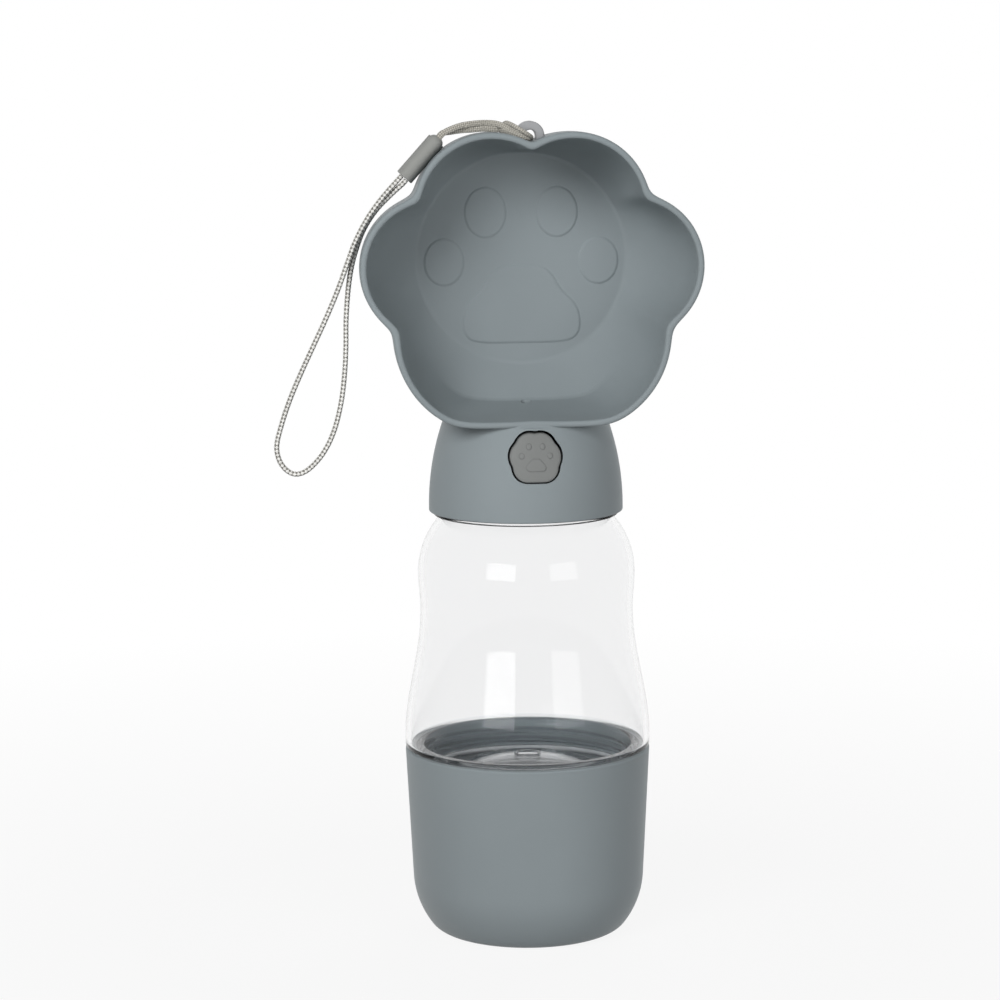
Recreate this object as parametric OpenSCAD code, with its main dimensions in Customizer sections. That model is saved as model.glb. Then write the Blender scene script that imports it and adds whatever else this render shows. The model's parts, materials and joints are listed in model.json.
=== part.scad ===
// Dog travel water bottle with a drinking bowl on top and a food cup below.
// Millimetres. Z is up and the origin is the centre of the cup's foot.
// The bowl and the push button face -Y.

/* [Food cup] */
// Height of the food cup, foot to lip
cup_h = 58.3; // [48:0.1:80]
// Outer radius of the cup at its lip
cup_lip_r = 38.2; // [36.5:0.1:42]
// How much the cup narrows from its lip to its foot
cup_taper = 2.9; // [0:0.1:4]
// Radius of the large round that turns the cup's side in
cup_side_round = 26.5; // [22:0.5:32]
// Angle that the large round turns through
cup_side_turn = 34; // [25:1:45]
// Radius of the small round at the edge of the foot
cup_foot_round = 6.5; // [4:0.5:10]
// Wall of the cup at its lip
cup_wall = 2; // [1.2:0.1:2.4]
// Thickness of the cup's floor
cup_floor = 2.2; // [1.5:0.1:4]
// Depth of the plain socket that takes the bottle's skirt
cup_socket_h = 16; // [15:0.5:20]

/* [Bottle] */
// Wall of the clear bottle
bottle_wall = 1.7; // [1:0.1:2.4]
// How far the body stands out past the cup's lip, just above it
body_flare = 0.1; // [0:0.1:1.5]
// Radius of the waist
waist_r = 33.1; // [30:0.1:36]
// Height of the waist above the cup's lip
waist_up = 43.7; // [35:0.1:55]
// Radius of the bulge above the waist
bulge_r = 33.7; // [31:0.1:37]
// Distance from the waist up to the bulge
bulge_rise = 11.5; // [8:0.1:16]
// Radius of the shoulder's round
shoulder_round = 26; // [22:0.5:30]
// Radius of the bead round the shoulder
bead_ring_r = 29; // [28:0.1:29.6]
// Height of that bead
bead_ring_h = 1.8; // [1:0.1:2.4]
// Depth of the skirt that screws into the cup
skirt_h = 13.6; // [11:0.1:14.5]
// Radial room for the thread between skirt and cup
skirt_thread_room = 1.6; // [1.2:0.1:2]
// Rise of the domed floor above the skirt's edge
punt_h = 9; // [4:0.5:12]
// Outer radius of the neck
neck_r = 23.2; // [20:0.1:23.6]

/* [Collar] */
// How far the collar's lower edge reaches down past the foot of the bottle's neck
collar_drop = 0.55; // [0.3:0.05:1.5]
// Outer radius of the collar at its lower edge
collar_r = 30.05; // [29.8:0.05:33]
// Height of the collar
collar_h = 28.3; // [28.3:0.1:34]
// Height over which the collar stays upright before it leans in
collar_upright = 1.5; // [0.5:0.5:4]
// Radius of the collar's inward curve
collar_lean_round = 80; // [70:1:120]
// Wall of the collar
collar_wall = 2; // [1.4:0.1:2.2]
// Height of the bowl's foot that closes the collar
crown_h = 15; // [12:0.5:18]

/* [Threaded cap] */
// Radial room for the thread between neck and cap
neck_thread_room = 1.7; // [1.2:0.1:2]
// Wall of the threaded cap
cap_wall = 1.5; // [1:0.1:1.6]
// Thickness of the cap's deck
deck_t = 2; // [1.5:0.1:2.4]
// Height of the deck's top above the collar's lower edge
deck_up = 11.5; // [10.5:0.1:11.8]
// Thickness of the neck gasket
neck_gasket_t = 1.2; // [0.8:0.1:1.6]

/* [Drinking bowl] */
// Overall width of the bowl
bowl_w = 104; // [98:0.5:112]
// Radius of the two side lobes
side_lobe_r = 22.1; // [20:0.1:24]
// Radius of the two top lobes
top_lobe_r = 23.5; // [22:0.1:25]
// Distance of the top lobes' centres from the middle
top_lobe_x = 12.3; // [11:0.1:14]
// Height of the top lobes' centres above the floor's centre
top_lobe_up = 16.4; // [14:0.1:19]
// Radius of the two bottom lobes
low_lobe_r = 29.7; // [28:0.1:31]
// Distance of the bottom lobes' centres from the middle
low_lobe_x = 12.3; // [11:0.1:14]
// Height of the floor's centre above the bowl's flat underside
floor_up = 49; // [47:0.1:52]
// Radius of the bowl's round floor
floor_r = 32.6; // [28:0.1:34]
// Depth of the bowl from its rim to its floor
bowl_depth = 33; // [26:0.5:36]
// Distance of the rim's plane in front of the axis
rim_forward = 25; // [23:0.5:25.5]
// Wall of the bowl
bowl_wall = 2; // [1.4:0.1:2.4]
// Width of the pad of the raised paw figure on the floor
figure_w = 36.6; // [30:0.1:40]
// Height of that figure
figure_h = 0.4; // [0.2:0.1:0.8]

/* [Lug] */
// Outer radius of the lug that holds the lanyard
lug_r = 4.7; // [4.2:0.1:5.5]
// Radius of the hole through the lug
lug_hole_r = 2.3; // [2:0.05:2.4]
// Thickness of the lug, front to back
lug_t = 4.5; // [3:0.1:4.6]

/* [Button and valve] */
// Height of the button's centre above the collar's lower edge
button_up = 19.8; // [19.6:0.1:20]
// Width of the button across its side lobes
button_w = 15.9; // [15.5:0.1:17]
// Gap all round the button
button_gap = 0.45; // [0.3:0.05:0.6]
// How far the button stands out of the collar
button_proud = 0.5; // [0.2:0.1:1]
// Travel of the button
button_travel = 2.5; // [1.5:0.1:3]
// Outer radius of the valve barrel
barrel_r = 5.5; // [5.2:0.1:5.6]
// Radius of the two water chambers in the barrel
chamber_r = 4; // [3.8:0.05:4.3]
// Radius of the opening in the valve seat
seat_r = 2.6; // [2.4:0.05:2.9]
// Radius of the plunger's stem
stem_r = 1.9; // [1.6:0.05:2]
// Running clearance of the stem in its guide
stem_clearance = 0.1; // [0.05:0.01:0.15]
// Radius of the gland that the moving O-ring slides in
gland_r = 2.9; // [2.8:0.05:3.1]
// Radius of the water way from the deck to the bowl
water_r = 1.65; // [1.4:0.05:2]
// Radius of the inlet hole in the deck
inlet_r = 2.2; // [1.8:0.1:2.4]
// Thickness of the two flat water gaskets
water_gasket_t = 1.2; // [0.8:0.1:1.6]
// Distance of the valve screws from the middle
screw_x = 10.5; // [10:0.1:12]
// Radius of the screws' shanks
screw_r = 0.95; // [0.8:0.05:1.1]
// Turns of the return spring
spring_turns = 5; // [4:1:6]
// Radius of the spring's wire
spring_wire_r = 0.35; // [0.25:0.05:0.4]

/* [Lanyard] */
// Radius of the thin cord through the lug
hitch_cord_r = 0.8; // [0.6:0.05:0.85]
// Radius of the wrist cord
wrist_cord_r = 0.85; // [0.7:0.05:0.9]
// Radius of the bead that joins the two cords
bead_r = 2.5; // [2.3:0.05:2.6]
// Length of the bead
bead_l = 15; // [13:0.5:15]

/* [Hidden] */
$fn = 96;

shell_grey = [0.52, 0.55, 0.565];
button_grey = [0.51, 0.505, 0.495];
clear_plastic = [0.9, 0.92, 0.93, 0.45];
cap_white = [0.86, 0.87, 0.87];
rubber_grey = [0.72, 0.73, 0.74];
steel = [0.75, 0.76, 0.78];
cord_tan = [0.66, 0.65, 0.61];
cord_white = [0.8, 0.8, 0.78];
bead_grey = [0.6, 0.6, 0.59];

face_gap = 0.3;                 // between faces of pieces that turn on each other
fit_gap = 0.05;                 // round pieces that sit snugly in one another
eps = 0.01;                     // overshoot of cuts

// Cup and bottle
cup_in_r = cup_lip_r - cup_wall;
cup_side_lean = atan2(cup_taper, cup_h);
cup_side_z = cup_foot_round + (cup_side_round - cup_foot_round) * sin(cup_side_lean + cup_side_turn);
cup_side_x = cup_lip_r - (cup_side_round + (cup_h - cup_side_z) * sin(cup_side_lean)) / cos(cup_side_lean);
skirt_r = cup_in_r - skirt_thread_room;
skirt_low = cup_h - skirt_h;
groove_depth = 1.2;
ring_gap = 0.35;
ring_section = (skirt_thread_room + groove_depth - 2 * ring_gap) / 2;
skirt_foot_round = 2.5;
ring_up = skirt_foot_round + face_gap + ring_section + 0.35;    // O-ring's centre above the skirt
body_r = cup_lip_r + body_flare;
body_z = cup_h + face_gap;
body_widest_z = cup_h + 2.7;
waist_z = cup_h + waist_up;
bulge_z = waist_z + bulge_rise;
neck_step = 1.2;                // ledge between the shoulder and the neck
shoulder_top_angle = acos((neck_r + neck_step - bulge_r + shoulder_round) / shoulder_round);
neck_z = bulge_z + shoulder_round * sin(shoulder_top_angle);
collar_z = neck_z - collar_drop;
bead_gap = 1.8;                 // between the bottle's bead ring and the collar
bead_top_z = collar_z - bead_gap;
deck_z = collar_z + deck_up;
gasket_gap = 0.2;               // above and below the neck gasket
neck_top_z = deck_z - deck_t - neck_gasket_t - 2 * gasket_gap;

// Collar and cap
seam_z = collar_z + collar_h;
cap_in_r = neck_r + neck_thread_room;
cap_low = collar_z + 0.6;
button_z = collar_z + button_up;

function collar_out(z) = z < collar_z + collar_upright ? collar_r
    : collar_r - collar_lean_round
      + sqrt(pow(collar_lean_round, 2) - pow(z - collar_z - collar_upright, 2));
collar_top_r = collar_out(seam_z);
cap_rim_r = collar_out(deck_z) - collar_wall - 2 * fit_gap;

// Bowl
floor_z = seam_z + floor_up;
floor_y = bowl_depth - rim_forward;
side_lobe_x = bowl_w / 2 - side_lobe_r;
side_lobe_up = -0.7;
low_cut = 1.6;                  // how much of the bottom lobes the flat underside cuts away
low_lobe_up = low_lobe_r - floor_up - low_cut;
middle_r = low_lobe_r + 1.6;    // round that fills the gap between the bottom lobes
lobes = [
    [side_lobe_x, side_lobe_up, side_lobe_r], [-side_lobe_x, side_lobe_up, side_lobe_r],
    [top_lobe_x, top_lobe_up, top_lobe_r], [-top_lobe_x, top_lobe_up, top_lobe_r],
    [low_lobe_x, low_lobe_up, low_lobe_r], [-low_lobe_x, low_lobe_up, low_lobe_r],
    [0, middle_r - floor_up, middle_r]];
notch_blend = 40;               // a higher power makes the notches sharper
wall_turn = [0.94, 0.02];        // where the bowl's wall turns in: share of depth, share of width
loft_steps = 8;
outline_points = 96;

// Valve, along Y at the button's height
barrel_front = -15;
gland_back = -5;
gland_wall = 2;
seat_front = 4;
seat_back = 6;
washer_t = 1.6;
clip_t = 0.8;
plug_reach = 2.6;               // the plug's nose inside the barrel
end_room = 0.5;                 // left between clip and plug when the button is pushed in
barrel_back = seat_back + washer_t + clip_t + button_travel + end_room + plug_reach;
outlet_y = -3;
inlet_y = 10;
spout_top = button_z + barrel_r + 1.1;
spout_r = 3.5;
inlet_pipe_r = 3.9;
ear_y = 2;                      // ears that take the screws
ear_z = deck_z + 7.8;
ear_t = 2;
ear_r = 2.6;
screw_depth = 5.5;
screw_head_r = 2.2;
button_back = -22;
// Lobes of the button, right half: place and radius
button_lobes = [[0.173, 0.019, 0.327], [0.101, 0.186, 0.289], [0.164, -0.186, 0.277]] * button_w;
tongue_half = 10.3;             // half width of the strip behind the collar that keeps the button in
tongue_t = 1.2;
stem_back_r = 1.45;
o_ring_r = 0.6;
o_ring_y = -9.5;

// Lug and lanyard
lug_rise = 0.9;                 // lug's centre above the top notch
lug_z = floor_z + rim_reach(90, 0) + lug_rise;
lug_y = 8.75 - rim_forward;
bead_top = [-28, -19, 248];
bead_lean = 42;
cord_sides = 8;
hitch_route = [
    [-27.9, -19.9, 248.1], [-26.4, -19.9, 249.8], [-24, -19.5, 251], [-21, -18.9, 252], [-17.5, -18, 252.5],
    [-14, -17, 252.7], [-10.5, -16.8, 252.5], [-8.2, -17.6, 251.8], [-5.9, -18.8, 250.6],
    [-3.4, -19.9, 249.4], [-0.8, -18.9, 248.1], [0.2, -16.2, 248], [-0.8, -13.5, 248.1],
    [-3.4, -12.5, 249.2], [-5.9, -13.6, 250], [-8.2, -15.2, 250.7], [-10.5, -16.6, 250.8],
    [-14, -17, 251], [-17.5, -17.4, 250.8], [-21, -17.5, 250.6], [-24, -17.8, 250.2],
    [-26.4, -18.1, 249.8], [-27.9, -18.1, 248.1]];
wrist_route = [
    [-38.8, -19, 237.4], [-39.9, -19.1, 236.2], [-44.7, -19.8, 231], [-49.2, -20, 225], [-53, -20, 218],
    [-55.5, -20, 211.5], [-58.5, -20, 203.5], [-62.2, -20, 195], [-66, -20, 187], [-69.8, -20, 179],
    [-73.5, -20, 170.5], [-76.2, -19.5, 162.5], [-77.5, -19, 156.7], [-76.7, -18.5, 152.2],
    [-74.3, -18, 149], [-71.3, -18, 148], [-67.7, -18, 149.6], [-63.5, -18, 154.2], [-60.2, -18, 160.7],
    [-58, -18, 168.8], [-56.8, -18, 177], [-56.2, -18, 185.6], [-56, -18, 194.3], [-55.3, -18, 203],
    [-54.2, -18, 210], [-52.6, -18, 215.7], [-50.3, -18, 221.5], [-46.6, -18, 227.1],
    [-42, -18.2, 231.8], [-38.6, -18.9, 234.9], [-37.5, -19, 236.2]];

// ---- Shapes that repeat ----

// Points of an arc, for profiles
function arc(cx, cy, r, from, to, steps) =
    [for (i = [0:steps]) let (a = from + (to - from) * i / steps) [cx + r * cos(a), cy + r * sin(a)]];
function tail(v) = [for (i = [1:len(v) - 1]) v[i]];
function backwards(v) = [for (i = [len(v) - 1:-1:0]) v[i]];

module ring(outer, inner, h) {
    difference() {
        cylinder(r = outer, h = h);
        translate([0, 0, -1]) cylinder(r = inner, h = h + 2);
    }
}

// A piece that lies along Y: its own Z runs to +Y from the given y
module along_y(y, z) {
    translate([0, y, z]) rotate([-90, 0, 0]) children();
}

// Flat outline in X and Z, made solid from one y to another
module plate(from_y, to_y, z) {
    translate([0, to_y, z]) rotate([90, 0, 0]) linear_extrude(height = to_y - from_y) children();
}

module o_ring(centre_r, section_r) {
    rotate_extrude() translate([centre_r, 0]) circle(r = section_r, $fn = 32);
}

// Closed solid through rings of equal length, each star-shaped about its own centre
module loft(rings, centre) {
    n = len(rings[0]);
    m = len(rings);
    sides = [for (i = [0:m - 2], j = [0:n - 1], half = [0, 1])
        let (a = i * n + j, b = i * n + (j + 1) % n, c = a + n, d = b + n)
        half == 0 ? [a, b, d] : [a, d, c]];
    first = [for (j = [0:n - 1]) [m * n, (j + 1) % n, j]];
    last = [for (j = [0:n - 1]) [m * n + 1, (m - 1) * n + j, (m - 1) * n + (j + 1) % n]];
    polyhedron(
        points = concat([for (r = rings, p = r) p], [centre[0], centre[1]]),
        faces = concat(sides, first, last));
}

// ---- Cord ----

function unit(v) = v / norm(v);
function spline(a, b, c, d, t) =
    0.5 * (2 * b + (c - a) * t + (2 * a - 5 * b + 4 * c - d) * t * t
    + (3 * b - a - 3 * c + d) * t * t * t);
function smooth(route) = let (n = len(route)) [
    for (i = [0:n - 2]) for (t = [0, 0.5])
        spline(route[max(i - 1, 0)], route[i], route[i + 1], route[min(i + 2, n - 1)], t),
    route[n - 1]];
function heading(path, i) = unit(path[min(i + 1, len(path) - 1)] - path[max(i - 1, 0)]);
// Carries a side direction along the path without twist
function carried(path, i, side) =
    let (h = heading(path, i), s = unit(side - (side * h) * h))
    i == len(path) - 1 ? [s] : concat([s], carried(path, i + 1, s));

module cord(path, r) {
    sides = carried(path, 0, [0, 1, 0.1]);
    rings = [for (i = [0:len(path) - 1]) let (h = heading(path, i), up = cross(h, sides[i]))
        [for (k = [0:cord_sides - 1]) let (a = 360 * k / cord_sides)
            path[i] + r * (cos(a) * sides[i] - sin(a) * up)]];
    loft(rings, [path[0], path[len(path) - 1]]);
}

// ---- Food cup ----

// The two rounds from the foot up to the side, moved in by a wall and up by a little
function cup_rounds(inset, up) =
    let (low = -cup_side_lean - cup_side_turn,
         foot_x = cup_side_x + (cup_side_round - cup_foot_round) * cos(low))
    concat(
        arc(foot_x, cup_foot_round + up, cup_foot_round - inset, -90, low, 5),
        tail(arc(cup_side_x, cup_side_z + up, cup_side_round - inset, low, -cup_side_lean, 7)));

module food_cup() {
    socket_z = cup_h - cup_socket_h;
    color(shell_grey) rotate_extrude() polygon(concat(
        [[0, 0]],
        cup_rounds(0, 0),
        arc(cup_lip_r - 0.6, cup_h - 0.6, 0.6, 0, 90, 3),
        [[cup_in_r, cup_h], [cup_in_r, socket_z], [cup_in_r - 1, socket_z - 1]],
        backwards(cup_rounds(cup_wall, cup_floor - cup_wall)),
        [[0, cup_floor]]));
}

module cup_gasket() {
    color(rubber_grey) translate([0, 0, skirt_low + ring_up])
        o_ring(cup_in_r - ring_gap - ring_section, ring_section);
}

// ---- Bottle ----

// Outer radius of the clear body at height z, up to the bulge
function body_out(z) = z < waist_z
    ? waist_r + (body_r - waist_r) * (1 + cos(180 * (z - body_widest_z) / (waist_z - body_widest_z))) / 2
    : waist_r + (bulge_r - waist_r) * (1 - cos(180 * (z - waist_z) / bulge_rise)) / 2;

module bottle() {
    body_steps = 14;
    body = [for (i = [0:body_steps])
        let (z = body_widest_z + (bulge_z - body_widest_z) * i / body_steps) [body_out(z), z]];
    low_bead = bead_top_z - bead_ring_h;
    round_centre = bulge_r - shoulder_round;
    bead_angle = asin((low_bead - bulge_z) / shoulder_round);
    ledge_angle = asin((bead_top_z - bulge_z) / shoulder_round);
    shoulder = concat(
        arc(round_centre, bulge_z, shoulder_round, 8, bead_angle, 5),
        [[bead_ring_r, low_bead + 0.2], [bead_ring_r, bead_top_z - 0.3], [bead_ring_r - 0.3, bead_top_z]],
        arc(round_centre, bulge_z, shoulder_round, ledge_angle, shoulder_top_angle, 2));
    groove_low = skirt_low + ring_up - ring_section - face_gap;
    groove_high = skirt_low + ring_up + ring_section + face_gap;
    inner_round = shoulder_round - bottle_wall;
    inner_neck_r = neck_r - bottle_wall;
    inner_top_angle = acos((inner_neck_r - round_centre) / inner_round);
    skirt_in_r = skirt_r - groove_depth - bottle_wall;
    punt_r = skirt_r - skirt_foot_round;
    punt_round = (punt_r * punt_r + punt_h * punt_h) / (2 * punt_h);
    punt_angle = asin(punt_r / punt_round);
    punt_centre = skirt_low + punt_h - punt_round;
    color(clear_plastic) rotate_extrude() polygon(concat(
        arc(0, punt_centre, punt_round, 90, 90 - punt_angle, 8),
        arc(punt_r, skirt_low + skirt_foot_round, skirt_foot_round, -90, 0, 4),
        [[skirt_r, groove_low], [skirt_r - groove_depth, groove_low],
         [skirt_r - groove_depth, groove_high], [skirt_r, groove_high],
         [skirt_r, body_z], [body_r - 0.8, body_z], [body_r - 0.2, body_z + 0.6]],
        body,
        shoulder,
        [[neck_r, neck_z + 0.9], [neck_r, neck_top_z - 0.4], [neck_r - 0.4, neck_top_z],
         [inner_neck_r, neck_top_z]],
        arc(round_centre, bulge_z, inner_round, inner_top_angle, 8, 7),
        [for (i = [body_steps:-1:0]) body[i] - [bottle_wall, 0]],
        [[skirt_in_r, body_z - 1], [skirt_in_r, skirt_low + 5.5]],
        arc(0, punt_centre, punt_round + bottle_wall, 90 - punt_angle + 4, 90, 7)));
}

// ---- Cap under the collar ----

module neck_gasket() {
    color(rubber_grey) translate([0, 0, neck_top_z + gasket_gap])
        ring(cap_in_r - face_gap, neck_r - bottle_wall - 1, neck_gasket_t);
}

module threaded_cap() {
    color(cap_white) difference() {
        union() {
            translate([0, 0, cap_low]) cylinder(r = cap_in_r + cap_wall, h = deck_z - cap_low);
            translate([0, 0, deck_z - deck_t]) cylinder(r = cap_rim_r, h = deck_t);
            for (side = [-1, 1])
                translate([side * screw_x, ear_y, deck_z - eps])
                    cylinder(r = ear_r, h = ear_z - deck_z + eps);
        }
        translate([0, 0, cap_low - 1]) cylinder(r = cap_in_r, h = deck_z - deck_t - cap_low + 1);
        translate([0, inlet_y, deck_z - deck_t - 1]) cylinder(r = inlet_r, h = deck_t + 2);
        for (side = [-1, 1])
            translate([side * screw_x, ear_y, deck_z + 1])
                cylinder(r = screw_r + fit_gap, h = ear_z - deck_z);
    }
}

// ---- Collar ----

// Paw outline of the button, with lobes grown by the given amount
module button_outline(grow) {
    for (side = [-1, 1], lobe = button_lobes)
        translate([side * lobe[0], lobe[1]]) circle(r = lobe[2] + grow);
    flat_x = button_lobes[2][0];
    low = button_lobes[2][2] - button_lobes[2][1];
    translate([-flat_x, -low - grow]) square([2 * flat_x, low + grow + button_lobes[1][1]]);
}

// Solid of revolution of the collar's outside, from one height to another
module collar_form(inset, from_z, to_z) {
    steps = 8;
    rotate_extrude() polygon(concat(
        [[0, from_z]],
        [for (i = [0:steps]) let (z = from_z + (to_z - from_z) * i / steps) [collar_out(z) - inset, z]],
        [[0, to_z]]));
}

module valve_collar() {
    ledge_h = 1.4;
    color(shell_grey) difference() {
        collar_form(0, collar_z, seam_z);
        collar_form(collar_wall, collar_z - 1, deck_z);
        translate([0, 0, deck_z - eps]) cylinder(r = cap_rim_r - 1.4, h = ledge_h + 2 * eps);
        collar_form(collar_wall, deck_z + ledge_h, seam_z + 1);
        plate(-rim_forward - 8, -rim_forward + 5, button_z) button_outline(button_gap);
    }
}

// ---- Drinking bowl ----

// Distance from the floor's centre to the far side of a lobe, in direction a
function reach(a, lobe, grow) =
    let (along = lobe[0] * cos(a) + lobe[1] * sin(a),
         q = along * along - lobe[0] * lobe[0] - lobe[1] * lobe[1] + pow(lobe[2] + grow, 2))
    q > 0 ? max(0.1, along + sqrt(q)) : 0.1;
// Radius of the rim's outline: the lobes blended at their notches, flat below
function rim_reach(a, grow) =
    let (far = [for (l = lobes) reach(a, l, grow)],
         r = pow(pow(max(far), notch_blend) + pow(second(far), notch_blend), 1 / notch_blend))
    sin(a) < -0.3 ? min(r, (floor_up + grow) / -sin(a)) : r;
// Second largest of a list
function second(v) = let (top = max(v)) max([for (x = v) x < top ? x : 0]);

// Rings of the bowl from its rim back to its round floor
function bowl_rings(grow, front, back) = [
    for (i = [0:loft_steps])
        let (t = i / loft_steps,
             u = 2 * t * (1 - t) * wall_turn[0] + t * t,
             w = 2 * t * (1 - t) * wall_turn[1] + t * t)
        [for (j = [0:outline_points - 1])
            let (a = 360 * j / outline_points,
                 r = rim_reach(a, grow) * (1 - w) + (floor_r + bowl_wall + grow) * w)
            [r * cos(a), front + (back - front) * u, floor_z + r * sin(a)]]];

module bowl_solid(grow, front, back) {
    loft(bowl_rings(grow, front, back), [[0, front, floor_z], [0, back, floor_z]]);
}

module crown(inset) {
    rotate_extrude() polygon(concat(
        [[0, seam_z], [collar_top_r - inset, seam_z]],
        [for (a = [10:10:90]) [(collar_top_r - inset) * cos(a), seam_z + (crown_h - inset) * sin(a)]]));
}

// Shares of the pad's width: each toe's place and half sizes, and the pad's right half from the top
figure_toes = [[0.656, -0.027, 0.164, 0.194], [0.303, 0.388, 0.172, 0.208]];
figure_pad = [[0.164, -0.068], [0.26, -0.137], [0.328, -0.273], [0.464, -0.396], [0.5, -0.533],
              [0.486, -0.642], [0.396, -0.713]];

module figure_outline() {
    for (side = [-1, 1], toe = figure_toes * figure_w)
        translate([side * toe[0], toe[1]])
            polygon([for (a = [0:15:345]) [toe[2] * cos(a), toe[3] * sin(a)]]);
    right = figure_pad * figure_w;
    polygon(concat(right, [for (i = [len(right) - 1:-1:0]) [-right[i][0], right[i][1]]]));
}

module drinking_bowl() {
    boss_r = 3.8;
    boss_low = spout_top + water_gasket_t;
    color(shell_grey) difference() {
        union() {
            difference() {
                union() {
                    bowl_solid(0, -rim_forward, floor_y + bowl_wall);
                    difference() {
                        crown(0);
                        translate([0, 0, -eps]) crown(collar_wall);
                        translate([-50, -rim_forward - 50, seam_z - 1]) cube([100, 50, crown_h + 2]);
                    }
                    translate([0, outlet_y, boss_low]) cylinder(r = boss_r, h = seam_z + 5 - boss_low);
                    along_y(lug_y - lug_t / 2, lug_z) ring(lug_r, lug_hole_r, lug_t);
                }
                bowl_solid(-bowl_wall, -rim_forward - 0.5, floor_y);
            }
            plate(floor_y - figure_h, floor_y + bowl_wall / 2, floor_z) figure_outline();
        }
        translate([0, outlet_y, boss_low - 1]) cylinder(r = water_r, h = seam_z + 7 - boss_low);
    }
}

// ---- Valve ----

module valve_barrel() {
    color(cap_white) difference() {
        union() {
            along_y(barrel_front, button_z) cylinder(r = barrel_r, h = barrel_back - barrel_front);
            translate([0, outlet_y, button_z]) cylinder(r = spout_r, h = spout_top - button_z);
            translate([0, inlet_y, deck_z + water_gasket_t])
                cylinder(r = inlet_pipe_r, h = button_z - deck_z - water_gasket_t);
            translate([-screw_x, ear_y - ear_r, ear_z]) cube([2 * screw_x, 2 * ear_r, ear_t]);
            for (side = [-1, 1]) translate([side * screw_x, ear_y, ear_z]) cylinder(r = ear_r, h = ear_t);
        }
        along_y(barrel_front - 1, button_z) cylinder(r = stem_r + stem_clearance, h = gland_wall + 2);
        along_y(barrel_front + gland_wall, button_z)
            cylinder(r = gland_r, h = gland_back - barrel_front - gland_wall + eps);
        along_y(gland_back, button_z) cylinder(r = chamber_r, h = seat_front - gland_back);
        along_y(seat_front - eps, button_z) cylinder(r = seat_r, h = seat_back - seat_front + 2 * eps);
        along_y(seat_back, button_z) cylinder(r = chamber_r, h = barrel_back - seat_back + 1);
        translate([0, outlet_y, button_z]) cylinder(r = water_r, h = spout_top - button_z + 1);
        translate([0, inlet_y, deck_z]) cylinder(r = inlet_r, h = button_z - deck_z);
        for (side = [-1, 1])
            translate([side * screw_x, ear_y, ear_z - 1]) cylinder(r = screw_r + 0.25, h = ear_t + 2);
    }
}

module barrel_plug() {
    color(cap_white) difference() {
        union() {
            along_y(barrel_back, button_z) cylinder(r = barrel_r, h = 2);
            along_y(barrel_back - 1, button_z) cylinder(r = chamber_r - fit_gap, h = 1.5);
            along_y(barrel_back - plug_reach, button_z) cylinder(r = chamber_r - 1, h = 3);
        }
        along_y(barrel_back - 4, button_z) cylinder(r = stem_r + 0.3, h = 4);
    }
}

module plug_o_ring() {
    color(rubber_grey) along_y(barrel_back - 1.8, button_z) o_ring(chamber_r - 0.5, 0.45);
}

module inlet_gasket() {
    color(rubber_grey) translate([0, inlet_y, deck_z]) ring(inlet_pipe_r, inlet_r + 0.2, water_gasket_t);
}

module outlet_gasket() {
    color(rubber_grey) translate([0, outlet_y, spout_top])
        ring(spout_r + 0.1, water_r + 0.2, water_gasket_t);
}

module valve_screws() {
    color(steel) for (side = [-1, 1]) translate([side * screw_x, ear_y, ear_z + ear_t]) {
        difference() {
            cylinder(r = screw_head_r, h = 1.6);
            translate([0, 0, 0.8]) cylinder(r = 1, h = 1, $fn = 6);
        }
        translate([0, 0, -ear_t - screw_depth]) cylinder(r = screw_r, h = ear_t + screw_depth + eps);
    }
}

// ---- Button and plunger ----

module button() {
    socket_r = stem_r + fit_gap;
    color(button_grey) difference() {
        union() {
            intersection() {
                plate(-rim_forward - 8, button_back, button_z) button_outline(0);
                collar_form(-button_proud, collar_z, seam_z);
            }
            translate([-tongue_half, button_back - tongue_t, button_z - 5.2])
                cube([2 * tongue_half, tongue_t, 5]);
        }
        along_y(button_back - 3.5, button_z) cylinder(r = socket_r, h = 4);
    }
}

module plunger() {
    front = button_back - 3.5;
    back = seat_back + washer_t + clip_t + 1.5;
    color(cap_white) difference() {
        union() {
            along_y(front, button_z) cylinder(r = stem_r, h = seat_back - 0.1 - front);
            along_y(seat_back - 0.5, button_z) cylinder(r = stem_back_r, h = back - seat_back + 0.5);
        }
        along_y(o_ring_y - o_ring_r - 0.15, button_z)
            ring(stem_r + 1, gland_r - 2 * o_ring_r - fit_gap * 2, 2 * o_ring_r + 0.3);
        along_y(seat_back + washer_t + fit_gap, button_z)
            ring(stem_r + 1, stem_back_r - 0.35, clip_t + 2 * fit_gap);
    }
}

module stem_o_ring() {
    color(rubber_grey) along_y(o_ring_y, button_z) o_ring(gland_r - fit_gap - o_ring_r, o_ring_r);
}

module seat_washer() {
    color(rubber_grey) along_y(seat_back + fit_gap, button_z)
        ring(chamber_r - 0.4, stem_back_r + 0.02, washer_t - fit_gap);
}

module plunger_clip() {
    color(steel) along_y(seat_back + washer_t + 2 * fit_gap, button_z) difference() {
        ring(chamber_r - 1, stem_back_r - 0.3, clip_t);
        translate([-0.8, 0, -1]) cube([1.6, 5, clip_t + 2]);
    }
}

module return_spring() {
    steps = 10;
    coil_r = stem_r + 0.9 + spring_wire_r;
    rise = barrel_front - button_back - 2 * spring_wire_r - 2 * fit_gap;
    path = [for (i = [0:steps * spring_turns])
        let (turn = i / steps)
        [coil_r * cos(360 * turn), button_back + spring_wire_r + fit_gap + rise * turn / spring_turns,
         button_z + coil_r * sin(360 * turn)]];
    color(steel) cord(path, spring_wire_r);
}

// ---- Lanyard ----

module hitch_cord() {
    color(cord_tan) cord(smooth(hitch_route), hitch_cord_r);
}

module wrist_cord() {
    color(cord_white) cord(smooth(wrist_route), wrist_cord_r);
}

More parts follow.
